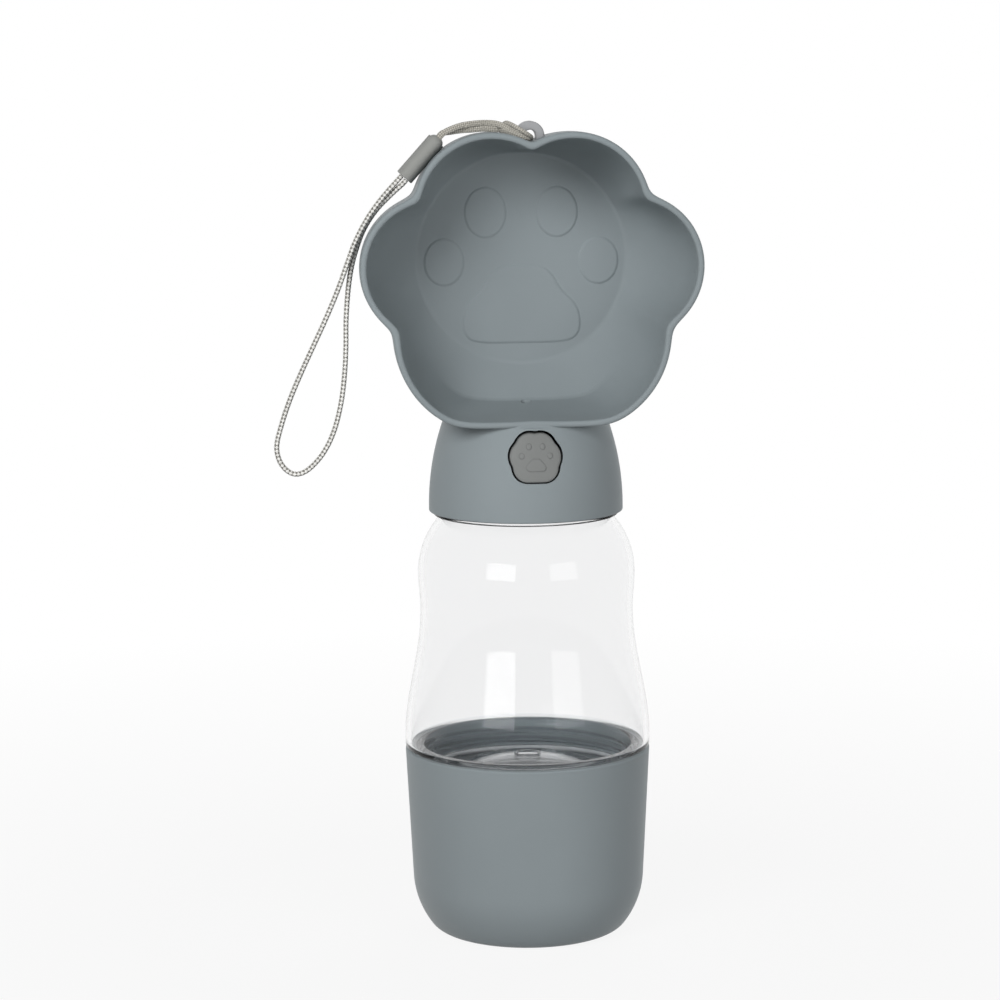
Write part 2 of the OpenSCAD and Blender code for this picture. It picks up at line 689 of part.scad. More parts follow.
// Half of the bead: front is the -Y side
module bead_half(side) {
    nose = 1.6;
    translate(bead_top) rotate([0, 180 + bead_lean, 0]) difference() {
        rotate_extrude() polygon(concat(
            [[0, 0]],
            arc(bead_r - nose, nose, nose, -90, 0, 6),
            [[bead_r, bead_l - 0.4], [bead_r - 0.4, bead_l], [0, bead_l]]));
        translate([-5, side > 0 ? -10 : 0, -1]) cube([10, 10, bead_l + 2]);
        translate([-1.2, -1.2, 2]) cube([2.4, 2.4, bead_l - 4]);
    }
}

module bead_front() {
    color(bead_grey) bead_half(-1);
}

module bead_back() {
    color(bead_grey) bead_half(1);
}

food_cup();
cup_gasket();
bottle();
neck_gasket();
threaded_cap();
valve_collar();
drinking_bowl();
valve_barrel();
barrel_plug();
plug_o_ring();
inlet_gasket();
outlet_gasket();
valve_screws();
button();
plunger();
stem_o_ring();
seat_washer();
plunger_clip();
return_spring();
hitch_cord();
wrist_cord();
bead_front();
bead_back();
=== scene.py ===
import json
import math

import bmesh
import bpy
from mathutils import Matrix, Vector
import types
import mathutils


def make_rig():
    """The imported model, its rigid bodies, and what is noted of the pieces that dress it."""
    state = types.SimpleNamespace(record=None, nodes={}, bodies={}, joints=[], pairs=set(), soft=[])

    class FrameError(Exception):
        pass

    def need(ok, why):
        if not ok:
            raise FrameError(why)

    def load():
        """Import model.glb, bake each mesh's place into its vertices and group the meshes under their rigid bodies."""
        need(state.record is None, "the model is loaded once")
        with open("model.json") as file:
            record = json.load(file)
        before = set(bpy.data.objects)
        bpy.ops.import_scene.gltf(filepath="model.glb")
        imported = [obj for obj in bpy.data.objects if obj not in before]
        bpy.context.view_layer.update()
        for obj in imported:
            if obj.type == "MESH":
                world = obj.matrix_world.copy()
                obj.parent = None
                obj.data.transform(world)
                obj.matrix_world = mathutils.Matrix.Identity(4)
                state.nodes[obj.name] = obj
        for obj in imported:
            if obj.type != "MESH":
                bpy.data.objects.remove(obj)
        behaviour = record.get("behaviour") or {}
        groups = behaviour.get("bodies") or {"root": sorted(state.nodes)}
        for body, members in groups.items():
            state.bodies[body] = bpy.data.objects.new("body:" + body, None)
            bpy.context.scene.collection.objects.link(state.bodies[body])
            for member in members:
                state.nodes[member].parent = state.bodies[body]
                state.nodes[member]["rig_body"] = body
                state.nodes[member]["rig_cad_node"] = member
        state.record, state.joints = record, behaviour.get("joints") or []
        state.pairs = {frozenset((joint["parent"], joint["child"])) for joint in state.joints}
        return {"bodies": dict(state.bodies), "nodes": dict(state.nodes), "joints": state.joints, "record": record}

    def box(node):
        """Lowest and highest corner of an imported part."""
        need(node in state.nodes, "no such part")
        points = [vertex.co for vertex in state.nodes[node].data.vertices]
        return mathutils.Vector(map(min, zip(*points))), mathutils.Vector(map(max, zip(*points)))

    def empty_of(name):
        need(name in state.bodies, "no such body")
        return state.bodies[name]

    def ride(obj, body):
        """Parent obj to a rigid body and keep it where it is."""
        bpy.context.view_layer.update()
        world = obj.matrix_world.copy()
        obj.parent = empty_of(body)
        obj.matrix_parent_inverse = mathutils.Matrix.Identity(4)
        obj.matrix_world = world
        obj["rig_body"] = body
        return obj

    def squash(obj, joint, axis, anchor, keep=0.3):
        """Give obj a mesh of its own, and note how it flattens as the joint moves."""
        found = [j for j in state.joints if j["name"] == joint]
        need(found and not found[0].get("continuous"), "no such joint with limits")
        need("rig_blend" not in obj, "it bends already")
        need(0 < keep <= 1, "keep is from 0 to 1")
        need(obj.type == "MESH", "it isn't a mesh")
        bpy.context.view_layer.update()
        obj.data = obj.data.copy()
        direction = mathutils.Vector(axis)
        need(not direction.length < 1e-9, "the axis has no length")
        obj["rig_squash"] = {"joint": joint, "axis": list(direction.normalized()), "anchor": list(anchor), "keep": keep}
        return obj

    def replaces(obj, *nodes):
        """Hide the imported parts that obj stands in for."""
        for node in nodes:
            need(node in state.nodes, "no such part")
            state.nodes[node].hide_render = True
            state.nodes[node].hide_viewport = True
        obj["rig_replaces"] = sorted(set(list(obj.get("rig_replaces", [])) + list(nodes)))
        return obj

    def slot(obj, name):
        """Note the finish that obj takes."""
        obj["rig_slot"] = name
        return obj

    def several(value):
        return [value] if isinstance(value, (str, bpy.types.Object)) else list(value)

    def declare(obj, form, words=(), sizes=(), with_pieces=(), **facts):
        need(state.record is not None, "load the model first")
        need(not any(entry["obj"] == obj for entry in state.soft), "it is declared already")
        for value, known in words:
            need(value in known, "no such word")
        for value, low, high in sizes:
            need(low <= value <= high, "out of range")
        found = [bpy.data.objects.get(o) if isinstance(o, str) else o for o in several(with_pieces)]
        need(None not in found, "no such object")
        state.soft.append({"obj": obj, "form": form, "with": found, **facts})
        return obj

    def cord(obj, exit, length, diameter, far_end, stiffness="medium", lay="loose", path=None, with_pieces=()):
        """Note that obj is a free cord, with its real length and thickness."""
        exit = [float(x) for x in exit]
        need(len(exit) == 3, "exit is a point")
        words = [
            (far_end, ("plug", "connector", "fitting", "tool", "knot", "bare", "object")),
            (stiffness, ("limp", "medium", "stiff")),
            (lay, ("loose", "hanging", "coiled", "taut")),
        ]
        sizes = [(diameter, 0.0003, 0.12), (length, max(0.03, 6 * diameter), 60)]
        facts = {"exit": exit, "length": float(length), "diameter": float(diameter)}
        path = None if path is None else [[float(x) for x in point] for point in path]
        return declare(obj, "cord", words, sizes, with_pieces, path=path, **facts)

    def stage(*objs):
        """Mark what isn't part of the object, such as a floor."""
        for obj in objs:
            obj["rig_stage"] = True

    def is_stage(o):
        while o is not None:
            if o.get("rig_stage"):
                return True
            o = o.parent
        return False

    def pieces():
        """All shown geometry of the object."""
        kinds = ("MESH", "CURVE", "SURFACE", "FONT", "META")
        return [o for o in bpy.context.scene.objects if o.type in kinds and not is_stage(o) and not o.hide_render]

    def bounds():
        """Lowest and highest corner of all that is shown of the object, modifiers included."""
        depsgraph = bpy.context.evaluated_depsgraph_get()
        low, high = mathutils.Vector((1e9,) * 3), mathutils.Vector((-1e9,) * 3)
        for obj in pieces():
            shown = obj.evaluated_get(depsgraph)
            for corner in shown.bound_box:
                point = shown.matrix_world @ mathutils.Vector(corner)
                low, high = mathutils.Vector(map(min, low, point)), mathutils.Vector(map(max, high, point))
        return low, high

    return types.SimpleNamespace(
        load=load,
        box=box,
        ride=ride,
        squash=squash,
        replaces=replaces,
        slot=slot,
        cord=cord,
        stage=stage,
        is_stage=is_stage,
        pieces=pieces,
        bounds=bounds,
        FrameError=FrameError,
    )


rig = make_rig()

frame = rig.load()
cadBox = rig.bounds()
nodes = frame["nodes"]
mm = 0.001
weld = 2e-6               # metres: points closer than this are one


def meshOf(name, bm):
    mesh = bpy.data.meshes.new(name)
    bm.to_mesh(mesh)
    bm.free()
    return mesh


def linked(name, data):
    made = bpy.data.objects.new(name, data)
    bpy.context.scene.collection.objects.link(made)
    return made


def smoothed(mesh, sharp):
    # smooth shading, but not across edges sharper than this many degrees
    for polygon in mesh.polygons:
        polygon.use_smooth = True
    mesh.set_sharp_from_angle(angle=math.radians(sharp))


def finish(name, bm, body, slot, material, sharp=35):
    # the mesh becomes a piece that rides on a body
    bmesh.ops.remove_doubles(bm, verts=bm.verts, dist=weld)
    bmesh.ops.recalc_face_normals(bm, faces=bm.faces)
    piece = linked(name, meshOf(name, bm))
    smoothed(piece.data, sharp)
    piece.data.materials.append(material)
    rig.ride(piece, body)
    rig.slot(piece, slot)
    return piece


def rounded(points, steps=6):
    # a profile of (r, z) or (r, z, radius of the corner), in millimetres
    out = []
    for i, p in enumerate(points):
        here = Vector(p[:2])
        if len(p) < 3 or i in (0, len(points) - 1):
            out.append(here)
            continue
        back = (Vector(points[i - 1][:2]) - here).normalized()
        ahead = (Vector(points[i + 1][:2]) - here).normalized()
        half = back.angle(ahead) / 2
        centre = here + (back + ahead).normalized() * p[2] / math.sin(half)
        start = here + back * p[2] / math.tan(half) - centre
        end = here + ahead * p[2] / math.tan(half) - centre
        turn = math.atan2(start.x * end.y - start.y * end.x, start.dot(end))
        for k in range(steps + 1):
            out.append(centre + Matrix.Rotation(turn * k / steps, 2) @ start)
    return out


def around(count, shift=0.0):
    # angles at an even spacing, once round
    return [2 * math.pi * (i + shift) / count for i in range(count)]


def arc(cx, cz, r, first, last, steps):
    # points of an arc, angles in degrees
    angles = [math.radians(first + (last - first) * i / steps) for i in range(steps + 1)]
    return [(cx + r * math.cos(a), cz + r * math.sin(a)) for a in angles]


def spun(profile, steps=144):
    # a profile turned once round Z
    bm = bmesh.new()
    verts = [bm.verts.new((r * mm, 0, z * mm)) for r, z in profile]
    edges = [bm.edges.new(pair) for pair in zip(verts, verts[1:])]
    bmesh.ops.spin(bm, geom=verts + edges, cent=(0, 0, 0), axis=(0, 0, 1),
                   angle=2 * math.pi, steps=steps, use_merge=True)
    bmesh.ops.remove_doubles(bm, verts=bm.verts, dist=weld)
    return bm


def helix(root, crest, z, lead, turns, width, start=0, flank=0.35, steps=72):
    # a thread ridge: its section is spun and lifted, and its ends run out into the wall
    bm = bmesh.new()
    top = width * (1 - 2 * flank)
    section = [(root, -width / 2), (crest, -top / 2), (crest, top / 2), (root, width / 2)]
    at = Matrix.Rotation(math.radians(start), 4, "Z")
    verts = [bm.verts.new(at @ Vector((r * mm, 0, (z + h) * mm))) for r, h in section]
    face = bm.faces.new(verts)
    count = round(steps * turns)
    bmesh.ops.spin(bm, geom=[face], cent=(0, 0, 0), axis=(0, 0, 1), angle=2 * math.pi * turns,
                   steps=count, dvec=(0, 0, lead * turns / count * mm))
    fade = 0.06 * turns if turns > 1 else 0.12
    for v in bm.verts:
        along = (v.co.z / mm - z) / (lead * turns)
        ease = min(1, max(0, along) / fade, max(0, 1 - along) / fade)
        r = v.co.xy.length / mm
        if ease < 1:
            v.co.xy *= (root + (r - root) * ease) / r
    return bm


def pulled(bm, face, by):
    # extrudes a face by a distance
    moved = bmesh.ops.extrude_face_region(bm, geom=[face])["geom"]
    bmesh.ops.translate(bm, verts=[v for v in moved if isinstance(v, bmesh.types.BMVert)], vec=by)


def bevelled(bm, edges, width, segments, clamp=False):
    bmesh.ops.bevel(bm, geom=edges, offset=width, segments=segments, affect="EDGES", profile=0.5,
                    material=-1, clamp_overlap=clamp)


def halved(bm, y, away):
    # cuts at a plane across Y, drops the side that away points to and closes the hole
    bmesh.ops.bisect_plane(bm, geom=bm.verts[:] + bm.edges[:] + bm.faces[:], plane_co=(0, y, 0),
                           plane_no=(0, away, 0), clear_outer=True)
    return bmesh.ops.holes_fill(bm, edges=[e for e in bm.edges if e.is_boundary])["faces"]


def joined(*parts):
    # several meshes in one
    bm = bmesh.new()
    for part in parts:
        mesh = meshOf("part", part)
        bm.from_mesh(mesh)
        bpy.data.meshes.remove(mesh)
    return bm


def cut(piece, bm):
    # takes a block out of the piece
    bmesh.ops.recalc_face_normals(bm, faces=bm.faces)
    tool = linked("cutter", meshOf("cutter", bm))
    modifier = piece.modifiers.new("cut", "BOOLEAN")
    modifier.operation = "DIFFERENCE"
    modifier.solver = "EXACT"
    modifier.object = tool
    done = piece.evaluated_get(bpy.context.evaluated_depsgraph_get())
    result = bpy.data.meshes.new_from_object(done)
    piece.modifiers.clear()
    old, piece.data = piece.data, result
    block = tool.data
    bpy.data.objects.remove(tool)
    for mesh in (old, block):
        bpy.data.meshes.remove(mesh)


def softenedRoute(points, extra):
    # the same spline as the solid's, with more points
    out = []
    last = len(points) - 1
    for i in range(last):
        a, b, c, d = (Vector(points[min(max(k, 0), last)]) for k in (i - 1, i, i + 1, i + 2))
        for s in range(extra):
            t = s / extra
            out.append(0.5 * (2 * b + (c - a) * t + (2 * a - 5 * b + 4 * c - d) * t * t
                              + (3 * b - a - 3 * c + d) * t ** 3))
    out.append(Vector(points[-1]))
    return out


def evenly(path, step):
    # points at an even spacing along a path
    out, left = [path[0]], step
    for a, b in zip(path, path[1:]):
        span = (b - a).length
        done = 0
        while span - done >= left:
            done += left
            out.append(a.lerp(b, done / span))
            left = step
        left -= span - done
    if (out[-1] - path[-1]).length > step * 0.4:
        out.append(path[-1])
    return out


def firstRing(bm, places):
    # a ring of points; the circle's own radius is of no account
    ring = bmesh.ops.create_circle(bm, segments=len(places), radius=0.001)["verts"]
    for v, place in zip(ring, places):
        v.co = place
    return ring


def nextRing(bm, ring, places):
    # pulls a new ring of points out of the last one
    inside = set(ring)
    edges = {e for v in ring for e in v.link_edges
             if e.other_vert(v) in inside and len(e.link_faces) < 2}
    found = bmesh.ops.extrude_edge_only(bm, edges=list(edges))["geom"]
    fresh = {v for v in found if isinstance(v, bmesh.types.BMVert)}
    ring = [next(e.other_vert(v) for e in v.link_edges if e.other_vert(v) in fresh) for v in ring]
    for v, place in zip(ring, places):
        v.co = place
    return ring


def closeRing(bm, ring):
    bmesh.ops.triangulate(bm, faces=[bm.faces.new(ring)])


def lofted(rings):
    # a closed form through rings of points
    bm = bmesh.new()
    first = ring = firstRing(bm, rings[0])
    for places in rings[1:]:
        ring = nextRing(bm, ring, places)
    for end in (first, ring):
        closeRing(bm, end)
    return bm


def sweep(path, section, sides):
    # a tube along a path: section(angle, distance) gives its half depth and half height there
    bm = bmesh.new()
    side = Vector((0, 1, 0.1))
    far, ring, rings = 0, None, []
    for i, p in enumerate(path):
        ahead = (path[min(i + 1, len(path) - 1)] - path[max(i - 1, 0)]).normalized()
        side = (side - ahead * side.dot(ahead)).normalized()
        up = ahead.cross(side)
        far += (p - path[i - 1]).length if i else 0
        places = []
        for a in around(sides):
            deep, tall = section(a, far)
            places.append(p + side * (math.cos(a) * deep) + up * (math.sin(a) * tall))
        ring = nextRing(bm, ring, places) if ring else firstRing(bm, places)
        rings.append((ring, far))
    return bm, rings, far


print("tools ready")

camera = {
    "distance": 1.0,      # from the bottle's axis
    "height": 0.2868,
    "azimuth": -6.0,      # degrees, to the bottle's right
    "down": 8.59,
    "roll": -0.465,
    "aside": 0.008,       # the bottle stands this far right of the picture's middle
    "lens": 117.35,
}


def placeCamera():
    turn = math.radians(camera["azimuth"])
    data = bpy.data.cameras.new("camera")
    data.lens = camera["lens"]
    data.sensor_width = 36
    data.clip_start = 0.05
    data.clip_end = 50
    eye = linked("camera", data)
    forward = Vector((-math.sin(turn), math.cos(turn), 0))
    right = Vector((math.cos(turn), math.sin(turn), 0))
    place = -forward * camera["distance"] - right * camera["aside"]
    place.z = camera["height"]
    eye.matrix_world = (
        Matrix.Translation(place)
        @ Matrix.Rotation(turn, 4, "Z")
        @ Matrix.Rotation(math.radians(90 - camera["down"]), 4, "X")
        @ Matrix.Rotation(math.radians(camera["roll"]), 4, "Z")
    )
    bpy.context.scene.camera = eye


placeCamera()
print("camera placed")


class Wire:
    # one socket of a node tree, which takes Python's operators
    def __init__(self, shader, socket):
        self.shader = shader
        self.socket = socket

    def math(self, operation, *others):
        values = dict(enumerate((self,) + others))
        return self.shader.node("ShaderNodeMath", {"operation": operation}, values)

    def __add__(self, other):
        return self.math("ADD", other)

    def __sub__(self, other):
        return self.math("SUBTRACT", other)

    def __mul__(self, other):
        return self.math("MULTIPLY", other)

    def __rsub__(self, other):
        return (self * -1) + other

    __radd__ = __add__
    __rmul__ = __mul__


class Shader:
    # a material, or the world, that is built by expressions
    def __init__(self, name, owners=bpy.data.materials):
        self.owner = owners.new(name)
        self.owner.use_nodes = True
        self.tree = self.owner.node_tree
        self.tree.nodes.clear()

    def node(self, kind, settings=None, values=None, out=0):
        # a node's type, its settings, and the values or links of its sockets
        made = self.tree.nodes.new(kind)
        for key, value in (settings or {}).items():
            if key == "stops":
                ramp = made.color_ramp
                while len(ramp.elements) < len(value):
                    ramp.elements.new(0.5)
                for stop, (at, colour) in zip(ramp.elements, value):
                    stop.position = at
                    stop.color = colour
            else:
                setattr(made, key, value)
        for key, value in (values or {}).items():
            socket = made.inputs[key]
            if isinstance(value, Wire):
                self.tree.links.new(value.socket, socket)
            else:
                socket.default_value = value
        return Wire(self, made.outputs[out]) if made.outputs else made

    def place(self, scale=(1, 1, 1)):
        where = self.node("ShaderNodeTexCoord", out="Object")
        return self.node("ShaderNodeMapping", {}, {"Vector": where, "Scale": scale})

    def noise(self, where, scale, detail=3, roughness=0.5):
        return self.node("ShaderNodeTexNoise", {}, {
            "Vector": where, "Scale": scale, "Detail": detail, "Roughness": roughness})

    def ramp(self, wire, *stops):
        grey = [(at, (v, v, v, 1)) for at, v in stops]
        return self.node("ShaderNodeValToRGB", {"stops": grey}, {"Fac": wire})

    def mix(self, amount, a, b):
        # sockets 6 and 7 are the two colours, and output 2 the mixed one
        return self.node("ShaderNodeMix", {"data_type": "RGBA"}, {0: amount, 6: a, 7: b}, out=2)

    def bump(self, height, strength, distance, under=None):
        values = {"Height": height, "Strength": strength, "Distance": distance}
        if under is not None:
            values["Normal"] = under
        return self.node("ShaderNodeBump", {}, values)

    def surface(self, **values):
        # the names of Principled's sockets, with _ for a space
        named = {key.replace("_", " "): value for key, value in values.items()}
        return self.node("ShaderNodeBsdfPrincipled", {}, named)

    def ray(self, kind):
        return self.node("ShaderNodeLightPath", out=kind)

    def backdrop(self, near=1.0):
        # 1 for the rays that see a plain white backdrop: from the camera (times near), and from gloss and
        # glass before any diffuse bounce, so that the backdrop lights nothing through glass
        bright = self.ray("Is Glossy Ray").math("MAXIMUM", self.ray("Is Transmission Ray"))
        first = self.ray("Diffuse Depth").math("LESS_THAN", 0.5)
        return (self.ray("Is Camera Ray") * near).math("MAXIMUM", bright * first)

    def done(self, surface, output="ShaderNodeOutputMaterial"):
        self.node(output, {}, {"Surface": surface})
        return self.owner


def shade(red, green, blue):
    # a colour as a screen shows it, 0 to 255, as a linear one
    def linear(v):
        v = v / 255
        return v / 12.92 if v <= 0.04045 else ((v + 0.055) / 1.055) ** 2.4
    return (linear(red), linear(green), linear(blue), 1)


def darker(colour, share):
    return tuple(min(1, c * share) for c in colour[:3]) + (1,)


def mouldedPlastic(name, colour, rough, grain=0.6, mottle=0.06):
    # spark-textured plastic: fine grain, faint flow marks, and a little shine that varies
    s = Shader(name)
    where = s.place()
    flow = s.noise(s.place(scale=(1, 1, 0.35)), 38, 2)
    cloud = s.noise(where, 16, 3)
    speck = s.noise(where, 2600, 2, 0.6)
    fine = s.noise(where, 5200, 1)
    tint = s.ramp(cloud * 0.6 + flow * 0.4, (0.3, 0.0), (0.7, 1.0))
    base = s.mix(tint, darker(colour, 1 - mottle), darker(colour, 1 + mottle))
    base = s.mix(s.ramp(speck, (0.62, 0.0), (0.8, 0.25)), base, darker(colour, 1.25))
    polish = s.ramp(cloud, (0.35, rough - 0.05), (0.65, rough + 0.05)) + (speck - 0.5) * 0.12
    relief = s.bump(speck * 0.7 + fine * 0.3, grain, 0.00006)
    relief = s.bump(flow, 0.05, 0.0006, relief)
    return s.done(s.surface(Base_Color=base, Roughness=polish, Normal=relief, Specular_IOR_Level=0.3))


def clearPlastic(name, tint, shine=0.75, wave=0.01):
    # blown clear plastic: it bends what is behind it, its wall waves a little, and lamps shine through it
    s = Shader(name)
    where = s.place(scale=(1, 1, 0.4))
    wavy = s.noise(where, 34, 2)
    fine = s.noise(s.place(), 420, 2)
    relief = s.bump(wavy, wave, 0.0012)
    polish = s.ramp(fine, (0.4, 0.02), (0.75, 0.05))
    clear = s.surface(Base_Color=tint, Roughness=polish, Normal=relief, IOR=1.2, Transmission_Weight=1.0,
                      Specular_IOR_Level=shine)
    through = s.node("ShaderNodeBsdfTransparent", {}, {"Color": (0.8, 0.805, 0.81, 1)})
    return s.done(s.node("ShaderNodeMixShader", {}, {0: s.ray("Is Shadow Ray"), 1: clear, 2: through}))


def siliconeRubber(name, colour):
    s = Shader(name)
    where = s.place()
    cloud = s.noise(where, 60, 3)
    base = s.mix(s.ramp(cloud, (0.3, 0), (0.7, 1)), darker(colour, 0.93), colour)
    relief = s.bump(s.noise(where, 1500, 2), 0.3, 0.00005)
    polish = s.ramp(cloud, (0.3, 0.38), (0.7, 0.5))
    return s.done(s.surface(Base_Color=base, Roughness=polish, Normal=relief,
                            Subsurface_Weight=0.15, Subsurface_Radius=(0.001, 0.001, 0.001)))


def drawnSteel(name):
    s = Shader(name)
    lines = s.noise(s.place(scale=(1, 1, 30)), 900, 3)
    base = s.mix(lines, shade(176, 178, 182), shade(206, 208, 212))
    polish = s.ramp(lines, (0.3, 0.22), (0.7, 0.36))
    relief = s.bump(lines, 0.15, 0.00003)
    return s.done(s.surface(Base_Color=base, Metallic=1.0, Roughness=polish, Normal=relief))


def braid(name, length, colours, pitch, ends):
    # yarns that pass over and under each other, on the cord's own UV map
    light, dark = colours
    s = Shader(name)
    uv = s.node("ShaderNodeUVMap", {"uv_map": "along"})
    along = s.node("ShaderNodeSeparateXYZ", {}, {"Vector": uv})
    across = s.node("ShaderNodeSeparateXYZ", {}, {"Vector": uv}, out=1)
    a = (along * (length / pitch) + across * ends).math("FRACT")
    b = (along * (length / pitch) - across * ends + 8).math("FRACT")
    check = (a.math("GREATER_THAN", 0.5) - b.math("GREATER_THAN", 0.5)).math("ABSOLUTE")
    fibre = s.noise(s.place(), 2400, 2)
    cloud = s.noise(s.place(), 120, 2)
    base = s.mix(check, light, dark)
    base = s.mix(s.ramp(fibre, (0.35, 0), (0.75, 0.4)), base, darker(light, 0.7))
    base = s.mix(s.ramp(cloud, (0.4, 0), (0.7, 0.15)), base, darker(dark, 0.85))
    groove = (a - 0.5).math("ABSOLUTE") * (b - 0.5).math("ABSOLUTE") * 4
    relief = s.bump(groove * -1 + fibre * 0.3, 0.6, 0.0002)
    polish = s.ramp(fibre, (0.3, 0.7), (0.7, 0.9))
    return s.done(s.surface(Base_Color=base, Roughness=polish, Normal=relief, Sheen_Weight=0.25,
                            Sheen_Roughness=0.5))


shellGrey = mouldedPlastic("moulded shell", shade(128, 136, 139), rough=0.48)
buttonGrey = mouldedPlastic("soft button", shade(117, 119, 118), rough=0.36, grain=0.35)
innerWhite = mouldedPlastic("white moulding", shade(226, 228, 229), rough=0.42, grain=0.3)
beadGrey = mouldedPlastic("bead plastic", shade(134, 135, 132), rough=0.4, grain=0.35)
# the shell's plastic made lighter: painted light, for the lit top of the bowl and light through the thin lug
lugLitShell = mouldedPlastic("lug plastic", shade(152, 153, 155), rough=0.4, grain=0.3)
clearBody = clearPlastic("clear body", (0.935, 0.936, 0.938, 1))
# the skirt and dome: the same clear plastic, tinted darker as painted shade for the inside of the cup, and shining less
clearBaseShaded = clearPlastic("clear base", (0.84, 0.85, 0.86, 1), shine=0.15)
sealRubber = siliconeRubber("silicone seal", shade(205, 207, 208))
steelWire = drawnSteel("steel")
print("materials ready")

hitch = {
    "route": [
        (-27.9, -19.9, 248.1), (-26.4, -19.9, 249.8), (-24, -19.5, 251), (-21, -18.9, 252),
        (-17.5, -18, 252.5), (-14, -17, 252.7), (-10.5, -16.8, 252.5), (-8.2, -17.6, 251.8),
        (-5.9, -18.8, 250.6), (-3.4, -19.9, 249.4), (-0.8, -18.9, 248.1), (0.2, -16.2, 248),
        (-0.8, -13.5, 248.1), (-3.4, -12.5, 249.2), (-5.9, -13.6, 250), (-8.2, -15.2, 250.7),
        (-10.5, -16.6, 250.8), (-14, -17, 251), (-17.5, -17.4, 250.8), (-21, -17.5, 250.6),
        (-24, -17.8, 250.2),
        (-26.4, -18.1, 249.8), (-27.9, -18.1, 248.1)],
    "bights": [           # the two extra turns round the lug's leg
        [(-7.7, -15.4, 251.7), (-7, -17.4, 252.5), (-5.7, -19.3, 252.1), (-4.1, -20.4, 251.2),
         (-2.5, -20.7, 250.2), (-1.1, -20.2, 249.3), (-0.1, -19, 248.6), (0.2, -17.4, 248.1)],
        [(-8.6, -15.4, 250.3), (-7.6, -17.6, 250.4), (-5.7, -19.4, 249.8), (-3.7, -20.3, 248.9),
         (-1.9, -20.1, 248.1), (-0.7, -18.9, 247.7), (-0.3, -17.4, 247.6)]],
    "deep": 0.66,         # half sizes of the flat cord
    "tall": 0.93,
    "square": 4,          # 2 is an oval, more is squarer
    "rib": 1.3,           # length of one turn of the weave
    "ends": 5,            # turns of it side by side
    "relief": 0.06,
}
wrist = {
    "route": [
        (-38.8, -19, 237.4), (-39.9, -19.1, 236.2), (-44.7, -19.8, 231), (-49.2, -20, 225), (-53, -20, 218),
        (-55.5, -20, 211.5), (-58.5, -20, 203.5), (-62.2, -20, 195), (-66, -20, 187), (-69.8, -20, 179),
        (-73.5, -20, 170.5), (-76.2, -19.5, 162.5), (-77.5, -19, 156.7), (-76.7, -18.5, 152.2),
        (-74.3, -18, 149), (-71.3, -18, 148), (-67.7, -18, 149.6), (-63.5, -18, 154.2), (-60.2, -18, 160.7),
        (-58, -18, 168.8), (-56.8, -18, 177), (-56.2, -18, 185.6), (-56, -18, 194.3), (-55.3, -18, 203),
        (-54.2, -18, 210), (-52.6, -18, 215.7), (-50.3, -18, 221.5), (-46.6, -18, 227.1),
        (-42, -18.2, 231.8), (-38.6, -18.9, 234.9), (-37.5, -19, 236.2)],
    "deep": 0.85,
    "tall": 0.85,
    "square": 2,
    "rib": 2.4,
    "ends": 2,
    "relief": 0.1,
}


def makeCord(name, points, parts, slot, colours, sides=20, ringsPerRib=9):
    # the woven cord with its own UV map, its middle line and its length
    route = softenedRoute([Vector(p) * mm for p in points], 12)
    path = evenly(route, parts["rib"] * mm / ringsPerRib)
    deep, tall, rib, relief = (parts[key] * mm for key in ("deep", "tall", "rib", "relief"))

    def section(a, far):
        # yarns stand out where they pass over
        step, turned, n = 2 * math.pi * far / rib, parts["ends"] * a, parts["square"]
        full = (abs(math.cos(a)) ** n + abs(math.sin(a)) ** n) ** (-1 / n)
        over = relief * (math.sin(step + turned) * math.sin(step - turned) - 1)
        return deep * full + over, tall * full + over

    bm, rings, length = sweep(path, section, sides)
    uvLayer = bm.loops.layers.uv.new("along")
    place = {v: (far / length, k / sides) for ring, far in rings for k, v in enumerate(ring)}
    for face in bm.faces:
        last = max(place[l.vert][1] for l in face.loops) > 0.6
        for l in face.loops:
            u, v = place[l.vert]
            l[uvLayer].uv = (u, 1.0 if v == 0 and last else v)
    for ring, _ in (rings[0], rings[-1]):
        bm.faces.new(ring)
    yarn = braid(name + " yarn", length, colours, rib, parts["ends"])
    return finish(name, bm, "head", slot, yarn, sharp=60), path, length


tan = (shade(184, 181, 172), shade(132, 129, 121))
checked = (shade(232, 231, 227), shade(112, 110, 104))
hitchPiece, hitchPath, hitchLength = makeCord("hitchCord", hitch["route"], hitch, "flat_cord", tan)
hitchTurns = [makeCord("hitchTurn" + side, points, hitch, "flat_cord", tan)[0]
              for side, points in zip(("Upper", "Lower"), hitch["bights"])]
wristPiece, wristPath, wristLength = makeCord("wristCord", wrist["route"], wrist, "woven_cord", checked)
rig.replaces(hitchPiece, "hitch_cord")
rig.replaces(wristPiece, "wrist_cord")
print("cords", round(hitchLength, 4), round(wristLength, 4), "m")

bead = {
    "top": (-27.33, -19, 248.74), "lean": 42, "radius": 2.5, "length": 16,
    "nose": 2.2,          # round of the front half's top
    "end": 0.3,           # round of the other ends
    "wider": 0.3,         # the back half is this much larger in radius
    "shorter": 1.4,       # and starts this much lower
    "seam": 0.04,         # from the middle to each half's flat side
    "lip": 0.12,
}


def beadHalf(side):
    # half of a turned capsule, cut along its length
    r, long, nose, start, sign = bead["radius"], bead["length"], bead["nose"], 0, -1
    if side == "back":
        r, nose, start, sign = r + bead["wider"], bead["end"], bead["shorter"], 1
    bm = spun(rounded([(0, start), (r, start, nose), (r, long, bead["end"]), (0, long)]), 48)
    flat = halved(bm, sign * bead["seam"] * mm, -sign)
    bevelled(bm, [e for f in flat for e in f.edges], bead["lip"] * mm, 2)
    lean = Matrix.Rotation(math.radians(180 + bead["lean"]), 4, "Y")
    bmesh.ops.transform(bm, matrix=Matrix.Translation(Vector(bead["top"]) * mm) @ lean, verts=bm.verts)
    return finish("bead" + side.capitalize(), bm, "head", "bead", beadGrey, sharp=40)


